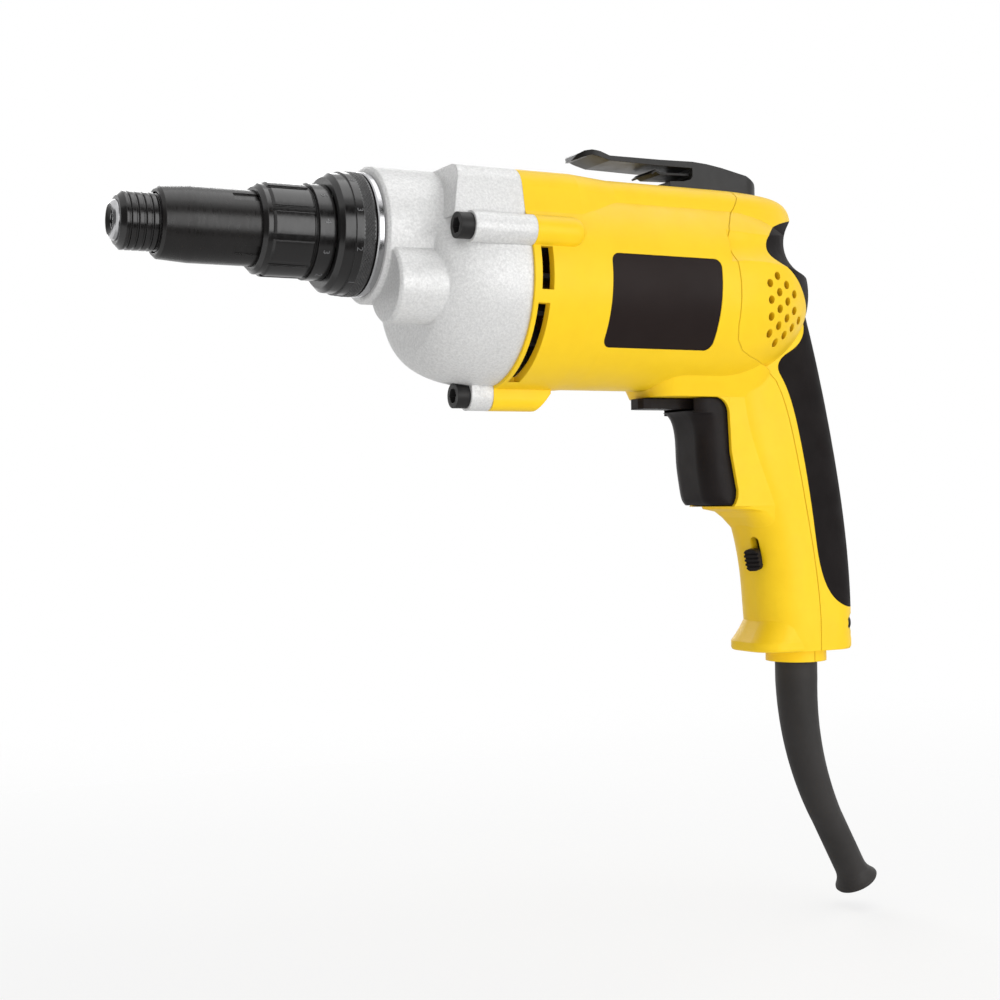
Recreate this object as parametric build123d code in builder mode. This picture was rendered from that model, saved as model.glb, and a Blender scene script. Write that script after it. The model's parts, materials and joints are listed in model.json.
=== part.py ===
from build123d import *
import os
from math import acos, atan2, cos, degrees, pi, radians, sin, sqrt, tan

os.makedirs("parts", exist_ok=True)

# Corded torque-clutch screwdriver, in millimetres.
# The origin is the middle of the bit socket's mouth, on the spindle axis.
# The nose points along -X, +Z is up and -Y is the tool's left side.

# How a pin or boss stands on the plane it is placed on
on_face = (Align.CENTER, Align.CENTER, Align.MIN)

# Clearances
running_gap = 0.05
seat_gap = 0.10
free_gap = 0.40

# Bit holder and release sleeve
socket_flats = 6.40
socket_depth = 18.0
holder_r = 6.6
holder_len = 26.0
spindle_r = 5.0
pilot_r = 3.5
bit_ball_r = 1.5
bit_ball_x = 9.6
release_front = 1.9
release_len = 13.6
release_r = 9.4
release_rib_count = 5
release_rib_pitch = 2.35
release_travel = 4.0
press_travel = 3.0

# Torque sleeve, collar and rings on the nose
nose_front = 14.5
nose_len = 48.5
nose_front_r = 11.7
nose_r = 12.5
nose_cone_len = 11.0
notch_count = 4
notch_width = 3.6
notch_len = 24.5
collar_exposed = 32.4
collar_len = 24.1
collar_r = 15.2
collar_band_r = 16.2
collar_band_len = 5.6
pad_count = 10
pad_height = 0.5
collar_travel = 4.0
lock_ring_len = 12.7
lock_ring_r = 20.8
lock_ring_face = 5.2
trim_ring_len = 2.6
trim_ring_r = 21.3
spigot_r = 11.2
spigot_bore_r = 9.3
spigot_root_r = 15.6
spigot_len = 44.6

# Gear case
case_len = 47.0
case_wall = 3.4
tube_r = 23.4
dome_r = 36.6
dome_curve = 28.0
dome_shoulder = 12.4
boss_r = 13.3
boss_back = 1.6
block_half = 27.5
block_len = 23.0
case_screw_r = 2.5
case_screw_head_r = 4.4
case_screw_head_len = 5.0
lug_r = 5.2
upper_lug_y = 35.0
upper_lug_z = -0.6
upper_lug_len = 23.0
lower_lug_z = -54.3
lower_lug_len = 8.5
case_screw_flats = 5.0

# Gear train
motor_drop = 14.7
fine_module = 0.8
coarse_module = 1.0
armature_teeth = 8
idler_teeth = 32
idler_pinion_teeth = 14
drive_teeth = 34
pressure_angle = radians(25.0)
backlash = 0.14
drive_gear_width = 10.0
idler_gear_width = 8.5

# Clutch
cam_r = 15.0
cam_len = 6.0
cam_flats = 9.0
clutch_ball_r = 2.5
clutch_ball_count = 6
clutch_ball_ring = 11.0
spring_nut_x = 56.0
spring_nut_len = 5.0
spring_nut_travel = 2.5
nut_lug_width = 4.0
return_recess_r = 7.4
return_recess_deep = 5.7
drive_journal_r = 6.0
drive_bush_r = 8.0
idler_journal_r = 4.0
idler_seat_r = 5.0
idler_bush_r = 6.0
idler_bush_len = 7.0

# Moulded body
wall = 3.2
rubber_thick = 1.6
barrel_r = 36.8
flange_r = 37.6
ridge_half = 22.0
ridge_corner = 8.0
ridge_lean = 12.0
flange_len = 22.0
flange_ramp = 9.0
cover_x = 219.6
tail_len = 49.0
beak_tip = 262.5
ridge_deep = 19.0
groove_r = 14.75
groove_z = 4.3
groove_reach = 50.2
groove_half = 46.0
ridge_top = 22.4
grip_half = 16.5
grip_corner = 13.5
base_z = -151.0
parting_gap = 0.25
seam_steps = 36
foot_x = 269.0
foot_z = -147.4
foot_flare = 19.0
foot_root = 37.2
foot_corner = 11.0
foot_lead = 3.7
foot_len = 45.8
foot_width = 31.0
outlet_r = 11.8
outlet_len = 4.6
guard_x = 227.0
guard_half = 15.0
chin_z = -94.8
under_z = -54.0
under_x = 199.0
under_len = 46.0
under_lean = 24.0
chin_corner = 6.0
upper_fairing = 15.0
lower_fairing = 23.0
exhaust_x = 137.6
exhaust_width = 4.5
badge_front = 164.4
badge_rear = 210.0
badge_top = -6.5
badge_low = -38.5
badge_deep = 0.9
air_x = 235.6
air_z = -11.0
air_pitch = 9.2
air_row = 2.95
air_rows = 9
air_drift = 0.5
air_hole_r = 1.5

# Screws in the handle, and the belt hook
cover_screw_y = 11.0
cover_screw_z = -141.0
cover_screw_r = 1.8
cover_head_x = 281.0
clamp_x = 256.0
clamp_post_x = 251.4
cover_boss_x = 258.0
clamp_z = -130.0
clamp_screw_y = 7.0
clamp_screw_r = 1.5
hook_screw_x = 240.2
hook_screw_r = 2.0

# Motor
bearing_r = 9.5
bearing_bore_r = 3.5
bearing_width = 6.0
plate_len = 10.6
core_r = 18.4
core_len = 44.0
core_x = 160.0
field_r = 31.0
field_bore_r = 19.0
commutator_r = 11.5
commutator_len = 17.0
fan_r = 29.0
fan_len = 10.0
brush_half = 3.4
brush_len = 12.0
brush_travel = 1.5
brush_spring_len = 4.0
brush_x = 224.6
shaft_r = 5.0
slot_count = 12
slot_deep = 6.5
slot_width = 3.0
winding_len = 8.4
coil_overhang = 6.5
field_ring_r = 26.5
pole_width = 18.0
shoe_half = 56.0
shoe_thick = 2.6
fan_blades = 14
brush_box_half = 5.0
brush_plate_r = 29.6
holder_in = 13.6
holder_cap = 1.2

# Controls
trigger_half = 13.0
trigger_round = 7.5
cheek_half = 10.0
cheek_lead = 0.4
trigger_travel = 7.0
lever_thick = 4.2
lever_pivot_x = 236.0
slider_travel = 4.5
slot_half = 2.0
slider_stem_len = 5.0
slider_turn = 14.0
slider_z = -112.0
slider_front = 244.0
lever_pin_r = 2.0
switch_x = 248.0
switch_len = 20.0
switch_half = 11.2
switch_z = -74.0
trigger_front = 212.6
trigger_rear = 237.6
trigger_spring_r = 4.4
plunger_r = 2.4
lever_front = 195.0
lever_half = 4.4
lever_eye_r = 5.6
slider_lift = 0.7
slider_pad_len = 8.4
slider_pad_width = 6.6
slider_pad_thick = 2.4

# Cord outlet
relief_bore_r = 4.0
relief_x = 267.5
relief_top_r = 8.2
relief_end_r = 6.1
relief_flare_r = 8.7
relief_straight = 7.4
relief_bend_r = 118.0
relief_bend = 28.0
relief_end_len = 31.0
relief_mid_r = 7.2
relief_flare_len = 8.0
relief_flange = 1.8
hook_tip = 168.6
hook_rear = 248.8
hook_top = 35.2
hook_half = 9.0
hook_seat_z = 27.0
leaf_z = 29.0

# Stations along the tool that follow from the sizes above
collar_front = nose_front + collar_exposed
collar_rear = collar_front + collar_len
lock_ring_front = collar_rear + 0.3
trim_ring_front = lock_ring_front + lock_ring_len
case_front = trim_ring_front + trim_ring_len
seam_x = case_front + case_len
case_floor = case_front + case_wall
cam_front = case_floor + 0.8
cam_rear = cam_front + cam_len
drive_front = cam_rear + press_travel + 0.5
drive_rear = drive_front + drive_gear_width
idler_front = drive_rear + 2.4
idler_rear = idler_front + idler_gear_width
plate_front = seam_x - 0.6 - plate_len
plate_rear = seam_x - 0.6
bearing_front = plate_rear - bearing_width
ramp_x = seam_x + flange_len
barrel_x = ramp_x + flange_ramp
core_rear = core_x + core_len
motor_z = -motor_drop
idler_distance = fine_module * (armature_teeth + idler_teeth) / 2
drive_distance = coarse_module * (idler_pinion_teeth + drive_teeth) / 2
idler_z = (idler_distance**2 - drive_distance**2 - motor_drop**2) / (2 * motor_drop)
idler_y = -sqrt(drive_distance**2 - idler_z**2)
idler_bush_front = case_floor - 0.5
idler_bush_rear = idler_bush_front + idler_bush_len
dome_front = case_front + 16.8
collar_spring_front = collar_front + 4.9
collar_spring_rear = collar_spring_front + collar_travel + 4.2
mouth_floor = release_front + release_len + release_travel + press_travel + 2.0
mouth_bore_r = release_r - 0.9
sleeve_stop = release_front + release_len + 0.5
release_spring_x = release_front + 6.3
washer_front = cam_front - 1.3
fan_front = seam_x + 3.0
commutator_front = core_rear + 9.2
brush_plate_front = brush_x + 7.0
rear_bearing_front = brush_plate_front + 4.0
trigger_top = under_z - lever_thick - 0.8
trigger_low = chin_z + free_gap
opening_rear = trigger_rear + trigger_travel + 2 * free_gap
holder_out = commutator_r + brush_len + brush_travel + brush_spring_len + holder_cap
notch_floor_r = spigot_r + 0.65
relief_low = base_z - outlet_len - relief_straight

# Gear directions in degrees, seen along +X, and half a tooth's turn for the gears that take a gap
to_spindle = degrees(atan2(-idler_z, -idler_y))
to_idler = to_spindle + 180
from_motor = degrees(atan2(idler_z - motor_z, idler_y))
to_motor = from_motor + 180
half_drive_pitch = 180 / drive_teeth
half_idler_pitch = 180 / idler_teeth

spindle_axis = Axis.X
motor_axis = Axis((0, 0, motor_z), (1, 0, 0))
idler_axis = Axis((0, idler_y, idler_z), (1, 0, 0))
spindle_plane = Plane.XZ
motor_plane = Plane((0, 0, motor_z), x_dir=(1, 0, 0), z_dir=(0, -1, 0))
idler_plane = Plane((0, idler_y, idler_z), x_dir=(1, 0, 0), z_dir=(0, -1, 0))
slider_up = Vector(-0.2, 0, 1).normalized()
slider_side = Vector(-cos(radians(slider_turn)), -sin(radians(slider_turn)), 0)
slider_plane = Plane(
    (
        slider_front + grip_corner * (1 - cos(radians(slider_turn))),
        grip_corner + 0.4 - grip_half - grip_corner * sin(radians(slider_turn)),
        slider_z,
    ),
    x_dir=slider_up,
    z_dir=slider_side - slider_up * slider_side.dot(slider_up),
)


def across(x, y=0.0, z=0.0):
    """A plane square to the spindle at station x, with its middle at y and z."""
    return Plane((x, y, z), x_dir=(0, 1, 0), z_dir=(1, 0, 0))


def half_section(plane, *points):
    """A closed outline of (station, radius) points, to be turned about an axis."""
    with BuildSketch(plane) as drawn:
        with BuildLine():
            Polyline(*points, close=True)
        make_face()
    return drawn.sketch


def ring_section(plane, front, rear, inner, outer):
    """The half section of a plain ring or, with no inner radius, a plain pin."""
    return half_section(plane, (front, inner), (rear, inner), (rear, outer), (front, outer))


def gear_face(plane, teeth, module, addendum, first_tooth):
    """The outline of a spur gear with involute flanks; first_tooth is in degrees."""
    pitch_r = teeth * module / 2
    base_r = pitch_r * cos(pressure_angle)
    tip_r = pitch_r + addendum * module
    root_r = pitch_r - 1.2 * module
    flank_r = max(base_r, root_r) + 0.002
    middle_r = (flank_r + tip_r) / 2
    pitch_half = (pi * module / 2 - backlash * module) / (2 * pitch_r)
    pitch_roll = tan(pressure_angle) - pressure_angle

    def half_angle(radius):
        opening = acos(min(1.0, base_r / radius))
        return pitch_half + pitch_roll - (tan(opening) - opening)

    def at(radius, angle):
        return (radius * cos(angle), radius * sin(angle))

    step = 2 * pi / teeth
    with BuildSketch(plane) as drawn:
        with BuildLine():
            for tooth in range(teeth):
                middle = radians(first_tooth) + tooth * step
                rise = [at(r, middle - half_angle(r)) for r in (flank_r, middle_r, tip_r)]
                fall = [at(r, middle + half_angle(r)) for r in (tip_r, middle_r, flank_r)]
                foot = at(root_r - 0.05, middle - half_angle(flank_r))
                heel = at(root_r - 0.05, middle + half_angle(flank_r))
                following = at(root_r - 0.05, middle + step - half_angle(flank_r))
                Line(foot, rise[0])
                Spline(*rise)
                Line(rise[2], fall[0])
                Spline(*fall)
                Line(fall[2], heel)
                Line(heel, following)
        make_face()
    return drawn.sketch


def coil_spring(plane, middle_r, wire_r, length, turns):
    """A wound spring standing on the plane, along the plane's normal."""
    pitch = (length - 2 * wire_r) / turns
    with BuildPart() as wound:
        with BuildLine() as path:
            Helix(
                pitch,
                pitch * turns,
                middle_r,
                center=plane.origin + plane.z_dir * wire_r,
                direction=plane.z_dir,
            )
        with BuildSketch(Plane(path.line @ 0, z_dir=path.line % 0)):
            Circle(wire_r)
        sweep(is_frenet=True)
    return wound.part


# Grip sections, evenly spaced from inside the barrel to the base: front, back, half width
grip_top_z = motor_z
grip_sections = (
    (222.0, 266.4, grip_half),
    (226.0, 274.2, grip_half),
    (230.2, 280.4, grip_half),
    (240.2, 285.5, grip_half - 0.3),
    (246.4, 288.6, grip_half - 0.5),
    (250.0, 288.6, grip_half - 0.6),
)


def body_form(inset):
    """The whole moulded outside, with the groove under the beak, drawn in by the inset on every side."""
    front = seam_x - (1.0 if inset else 0.0)
    with BuildPart() as form:
        with BuildSketch(motor_plane):
            with BuildLine():
                tail = EllipticalCenterArc((cover_x, 0), tail_len - inset, barrel_r - inset, 0, arc_size=90)
                Polyline(
                    tail @ 1,
                    (barrel_x, barrel_r - inset),
                    (ramp_x, flange_r - inset),
                    (front, flange_r - inset),
                    (front, 0),
                    tail @ 0,
                )
            make_face()
        revolve(axis=motor_axis)
    with BuildPart() as ridge:
        with BuildSketch(Plane.XY.offset(ridge_top - inset)):
            with BuildLine():
                end = EllipticalCenterArc(
                    (cover_x, 0), beak_tip - cover_x - inset, ridge_half - inset, 0, arc_size=90
                )
                Polyline(
                    end @ 1,
                    (barrel_x + flange_ramp, ridge_half - inset),
                    (ramp_x, block_half - inset),
                    (front - ridge_deep, block_half - inset),
                    (front - ridge_deep, 0),
                    end @ 0,
                )
            make_face()
            mirror(about=Plane.XZ)
        extrude(amount=-ridge_deep, taper=-ridge_lean)
        crown = ridge.faces().sort_by(Axis.Z)[-1].edges()
        fillet([edge for edge in crown if edge.center().X > front - ridge_deep + 0.1], ridge_corner)
        split(bisect_by=Plane.YZ.offset(front))
    with BuildPart() as groove:
        with BuildLine(Plane.XY.offset(groove_z)):
            run = EllipticalCenterArc((cover_x + 2.4, 0), groove_reach, groove_half, -100, arc_size=200)
        with BuildSketch(Plane(run @ 0, z_dir=run % 0)):
            Circle(groove_r + inset)
        sweep()
    with BuildPart() as grip:
        fall = (base_z + inset - grip_top_z) / (len(grip_sections) - 1)
        for place, (fore, back, half) in enumerate(grip_sections):
            with BuildSketch(Plane.XY.offset(grip_top_z + place * fall)):
                with Locations(((fore + back) / 2, 0)):
                    RectangleRounded(back - fore - 2 * inset, 2 * (half - inset), grip_corner - inset)
        loft()
    with BuildPart() as whole:
        add(form.part)
        add(ridge.part)
        add(groove.part, mode=Mode.SUBTRACT)
        add(grip.part)
    return whole.part


# Working forms: the outside, the seat under the rubber, and the hollow
outer_form = body_form(0.0)
rubber_seat = body_form(rubber_thick)
hollow_form = body_form(wall)

# The flared foot of the grip and the round collar under it
with BuildPart() as foot_form:
    for step in range(4):
        spread = (step / 3) ** 2
        with BuildSketch(Plane.XY.offset(foot_z + foot_flare * (1 - step / 3))):
            with Locations((foot_x - foot_lead * spread, 0)):
                RectangleRounded(
                    foot_root + (foot_len - foot_root) * spread,
                    28.0 + (foot_width - 28.0) * spread,
                    foot_corner,
                )
    loft()
    with BuildSketch(Plane.XY.offset(foot_z)):
        with Locations((foot_x - foot_lead, 0)):
            RectangleRounded(foot_len, foot_width, foot_corner)
    extrude(amount=base_z - foot_z)
    fillet(foot_form.edges().group_by(Axis.Z)[0], 1.2)
    with BuildSketch(Plane.XY.offset(base_z + 1)):
        with Locations((relief_x, 0)):
            Circle(outlet_r)
    extrude(amount=-outlet_len - 1)

# The block under the barrel that carries the lever, and the trigger guard with its chin
with BuildPart() as guard_form:
    extrude(
        half_section(
            Plane.XZ,
            (guard_x, under_z),
            (guard_x + 1.0, (under_z + chin_z) / 2),
            (guard_x + 3.0, chin_z + 10.0),
            (guard_x + 3.8, chin_z + 6.0),
            (guard_x + 3.6, chin_z + 3.2),
            (guard_x + 2.8, chin_z + 1.2),
            (guard_x + 1.6, chin_z - 0.2),
            (guard_x + 26.0, chin_z - 0.2),
            (guard_x + 26.0, under_z),
        ),
        amount=guard_half,
        both=True,
    )
    # the chin: a thin rounded lip that runs back into the grip
    for drop, back in ((0.0, 4.4), (1.2, 4.8), (2.2, 10.0), (4.6, 12.8), (9.6, 16.6), (16.0, 20.0)):
        with BuildSketch(Plane.XY.offset(chin_z - drop)):
            with Locations((guard_x + back, 0)):
                RectangleRounded(
                    50.0 - back,
                    2 * (guard_half - 0.15 * drop),
                    chin_corner + 0.38 * drop,
                    align=(Align.MIN, Align.CENTER),
                )
    loft(ruled=True)
    with BuildSketch(Plane.XY.offset(under_z)):
        with Locations((under_x + under_len / 2, 0)):
            RectangleRounded(under_len, 2 * guard_half, 7.0)
    extrude(amount=16.0, taper=-under_lean)

# What lies in front of the seam between housing and cover, and the cover's own side of it
seam_points = (
    (226.6, 24.0),
    (226.4, 17.5),
    (221.4, 11.7),
    (216.8, 5.0),
    (215.9, 0.5),
    (216.7, -4.6),
    (217.8, -14.0),
    (218.5, -27.0),
    (219.4, -33.0),
    (223.4, -37.7),
    (229.0, -39.8),
    (239.5, -42.2),
    (246.0, -45.8),
    (249.6, -51.4),
    (255.6, -70.0),
    (261.4, -96.8),
    (265.6, -120.0),
    (relief_x, -139.0),
)


with BuildLine(mode=Mode.PRIVATE) as seam_line:
    Spline(*seam_points)
seam_run = [seam_line.line @ (step / seam_steps) for step in range(seam_steps + 1)]


def seam_side(gap, far_x):
    """Everything between the seam line, moved back by the gap, and a far station."""
    with BuildPart() as region:
        extrude(
            half_section(
                Plane.XZ,
                (seam_points[0][0] + gap, 60.0),
                *[(point.X + gap, point.Y) for point in seam_run],
                (relief_x + gap, -175.0),
                (far_x, -175.0),
                (far_x, 60.0),
            ),
            amount=80,
            both=True,
        )
    return region.part


front_region = seam_side(0.0, seam_x - 40)
cover_region = seam_side(parting_gap, relief_x + 80)

# The side view of the rubber: under the beak, round behind the air holes, down the back
with BuildPart() as rubber_region:
    with BuildSketch(Plane.XZ):
        with BuildLine():
            rubber_edge = Spline(
                (258.0, 13.8),
                (249.9, 11.6),
                (239.0, 6.6),
                (234.6, 1.9),
                (234.2, -1.4),
                (239.4, -5.6),
                (246.0, -9.2),
                (251.0, -13.4),
                (257.0, -19.4),
                (261.8, -26.0),
                (259.6, -32.2),
                (255.4, -35.9),
                (250.8, -38.8),
                (248.7, -42.6),
                (250.5, -46.6),
                (254.5, -54.9),
                (258.5, -69.0),
                (265.2, -104.6),
                (267.6, -118.1),
                (273.0, -129.6),
                (283.0, -134.8),
            )
            Polyline(
                rubber_edge @ 1,
                (beak_tip + 40, -135.6),
                (beak_tip + 40, 13.8),
                rubber_edge @ 0,
            )
        make_face()
    extrude(amount=60, both=True)

# Side plates' outline, and the curved sheet they are cut from
with BuildPart() as plate_outline:
    with BuildSketch(Plane.XZ):
        with Locations(((badge_front + badge_rear) / 2, (badge_top + badge_low) / 2)):
            RectangleRounded(badge_rear - badge_front, badge_top - badge_low, 3.0)
    extrude(amount=60, both=True)
with BuildPart() as badge_pocket:
    revolve(
        ring_section(motor_plane, badge_front, badge_rear, barrel_r - badge_deep, barrel_r + 2),
        axis=motor_axis,
    )
    add(plate_outline.part, mode=Mode.INTERSECT)

# The lug under the barrel for the lower screw, tapering up at its rear end
with BuildPart() as lower_lug_form:
    extrude(
        half_section(
            Plane.XZ,
            (seam_x, lower_lug_z + 9),
            (seam_x, lower_lug_z - lug_r),
            (seam_x + lower_fairing - 5, lower_lug_z - lug_r),
            (seam_x + lower_fairing, lower_lug_z + 1),
            (seam_x + lower_fairing, lower_lug_z + 9),
        ),
        amount=lug_r,
        both=True,
    )
    fillet(lower_lug_form.edges().filter_by(Axis.X).group_by(Axis.Z)[0], lug_r - 1.0)

# Motor housing
with BuildPart() as motor_housing:
    add(outer_form)
    add(foot_form.part)
    add(guard_form.part)
    for side in (-1, 1):
        with BuildSketch(across(seam_x, side * upper_lug_y, upper_lug_z)):
            Circle(lug_r)
        extrude(amount=upper_fairing)
        with Locations((seam_x + upper_fairing, side * upper_lug_y, upper_lug_z)):
            Sphere(lug_r)
    add(lower_lug_form.part)
    add(hollow_form, mode=Mode.SUBTRACT)
    add(front_region, mode=Mode.INTERSECT)
    # ledge over the lever, with the lever's pivot pin
    with Locations((lever_pivot_x, 0, under_z + 2.0)):
        Box(18, 2 * (guard_half - 1.0), 4.0)
    with Locations((lever_pivot_x, 0, under_z - lever_thick / 2)):
        Cylinder(lever_pin_r, lever_thick + 0.6)
    # ribs that hold the field core, and side ribs that hold the switch
    for turn in (45, 135, 225, 315):
        with BuildSketch(across(core_x - 2, 0, motor_z)):
            with PolarLocations(field_r + seat_gap + 1.9, 1, turn):
                Rectangle(3.8, 5.0)
        extrude(amount=core_len + 4)
    for side in (-1, 1):
        with Locations((switch_x + 2.5, side * (switch_half + 1.4), switch_z)):
            Box(5, 2.6, 20)
    # posts for the cord clamp, and bosses for the cover screws
    for side in (-1, 1):
        with Locations(Plane.YZ.offset(clamp_post_x)):
            with Locations((side * clamp_screw_y, clamp_z)):
                Cylinder(3.4, clamp_x - clamp_post_x, align=on_face)
        with Locations(Plane.YZ.offset(cover_boss_x)):
            with Locations((side * cover_screw_y, cover_screw_z)):
                Cylinder(3.8, relief_x - cover_boss_x, align=on_face)
    # openings: trigger, slider slot, exhaust slots, screw holes, cord outlet, badge pockets
    with Locations(((guard_x + opening_rear) / 2 - 8, 0, (chin_z + under_z) / 2)):
        Box(opening_rear - guard_x + 16, 2 * (trigger_half + free_gap), under_z - chin_z, mode=Mode.SUBTRACT)
    with Locations((lever_pivot_x, 0, under_z - lever_thick / 2)):
        Cylinder(lever_pin_r, lever_thick + 0.6)
    with BuildSketch(slider_plane):
        SlotOverall(slider_stem_len + slider_travel + 2 * free_gap, 2 * slot_half)
    extrude(amount=7, both=True, mode=Mode.SUBTRACT)
    for side in (-1, 1):
        with Locations((exhaust_x + 1.0, side * 30, -13.2)):
            Box(exhaust_width, 24, 14.6, mode=Mode.SUBTRACT)
        with Locations((exhaust_x, side * 25, -37.5)):
            Box(exhaust_width, 32, 25.0, mode=Mode.SUBTRACT)
        with Locations(Plane.YZ.offset(seam_x - 1)):
            with Locations((side * upper_lug_y, upper_lug_z)):
                Cylinder(
                    case_screw_r + running_gap,
                    upper_fairing,
                    align=on_face,
                    mode=Mode.SUBTRACT,
                )
        with BuildSketch(across(253.0, side * cover_screw_y, cover_screw_z)):
            Circle(cover_screw_r + running_gap)
        extrude(amount=40, mode=Mode.SUBTRACT)
        with BuildSketch(across(clamp_x, side * clamp_screw_y, clamp_z)):
            Circle(clamp_screw_r + running_gap)
        extrude(amount=-3, mode=Mode.SUBTRACT)
    with Locations(Plane.YZ.offset(seam_x - 1)):
        with Locations((0, lower_lug_z)):
            Cylinder(
                case_screw_r + running_gap,
                lower_fairing - 3,
                align=on_face,
                mode=Mode.SUBTRACT,
            )
    with Locations((relief_x, 0, base_z)):
        Cylinder(relief_top_r + seat_gap, 30, mode=Mode.SUBTRACT)
    add(badge_pocket.part, mode=Mode.SUBTRACT)
motor_housing.part.label = "motor_housing"
export_step(motor_housing.part, "parts/motor_housing.step")

# Rubber backstrap
with BuildPart() as grip_overmold:
    add(outer_form)
    add(rubber_region.part, mode=Mode.INTERSECT)
    add(rubber_seat, mode=Mode.SUBTRACT)
    add(cover_region, mode=Mode.INTERSECT)
grip_overmold.part.label = "grip_overmold"
export_step(grip_overmold.part, "parts/grip_overmold.step")

# Handle cover
with BuildPart() as handle_cover:
    add(outer_form)
    add(foot_form.part)
    add(grip_overmold.part, mode=Mode.SUBTRACT)
    add(hollow_form, mode=Mode.SUBTRACT)
    add(cover_region, mode=Mode.INTERSECT)
    # boss under the belt hook screw, and bosses round the lower screws
    with Locations((hook_screw_x, 0, ridge_top - 7.0)):
        Cylinder(4.2, 12.0)
    for side in (-1, 1):
        with Locations(Plane.YZ.offset(relief_x + parting_gap)):
            with Locations((side * cover_screw_y, cover_screw_z)):
                Cylinder(3.8, 14.0, align=on_face)
    for side in (-1, 1):
        with Locations(Plane.YZ.offset(cover_head_x)):
            with Locations((side * cover_screw_y, cover_screw_z)):
                Cylinder(3.6, 30, align=on_face, mode=Mode.SUBTRACT)
        with Locations(Plane.YZ.offset(relief_x)):
            with Locations((side * cover_screw_y, cover_screw_z)):
                Cylinder(cover_screw_r + running_gap, 30, align=on_face, mode=Mode.SUBTRACT)
        # staggered air holes
        for row in range(air_rows):
            holes = 2 + (row == air_rows // 2 + 1) - (row in (0, air_rows - 1))
            for place in range(holes):
                hole_x = air_x + row * air_drift + (place - row % 2 / 2) * air_pitch
                with Locations(Plane.XZ.offset(-side * 20.0)):
                    with Locations((hole_x, air_z - row * air_row)):
                        Cylinder(air_hole_r, 40, mode=Mode.SUBTRACT)
    with Locations((hook_screw_x, 0, ridge_top)):
        Cylinder(hook_screw_r + running_gap, 22, mode=Mode.SUBTRACT)
    with Locations((relief_x, 0, base_z)):
        Cylinder(relief_top_r + seat_gap, 30, mode=Mode.SUBTRACT)
handle_cover.part.label = "handle_cover"
export_step(handle_cover.part, "parts/handle_cover.step")

# Badge plates, bare, one each side
with BuildPart() as badge_plates:
    revolve(
        ring_section(motor_plane, badge_front, badge_rear, barrel_r - badge_deep, barrel_r - 0.1),
        axis=motor_axis,
    )
    with BuildSketch(Plane.XZ):
        with Locations(((badge_front + badge_rear) / 2, (badge_top + badge_low) / 2)):
            RectangleRounded(
                badge_rear - badge_front - 2 * seat_gap, badge_top - badge_low - 2 * seat_gap, 3.0 - seat_gap
            )
    extrude(amount=60, both=True, mode=Mode.INTERSECT)
badge_plates.part.label = "badge_plates"
export_step(badge_plates.part, "parts/badge_plates.step")

# Gear case: dome, spindle tube, side boss, top block, screw lugs, and the spigot for the nose
with BuildPart() as case_block:
    with BuildSketch(Plane.XY.offset(ridge_top)):
        with Locations((seam_x, 0)):
            Rectangle(2 * block_len, 2 * block_half)
    extrude(amount=-ridge_deep, taper=-ridge_lean)
    fillet(case_block.faces().sort_by(Axis.Z)[-1].edges().filter_by(Axis.X), ridge_corner)
    split(bisect_by=Plane.YZ.offset(seam_x), keep=Keep.BOTTOM)


def dome_section(inset, rear):
    """The half section of the dome about the motor's axis, drawn in by the inset."""
    with BuildSketch(motor_plane) as drawn:
        with BuildLine():
            arc = EllipticalCenterArc(
                (dome_front + dome_curve, dome_r - dome_shoulder),
                dome_curve - inset,
                dome_shoulder - inset,
                90,
                arc_size=90,
            )
            Polyline(arc @ 0, (rear, dome_r - inset), (rear, 0), (dome_front + inset, 0), arc @ 1)
        make_face()
    return drawn.sketch


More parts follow.
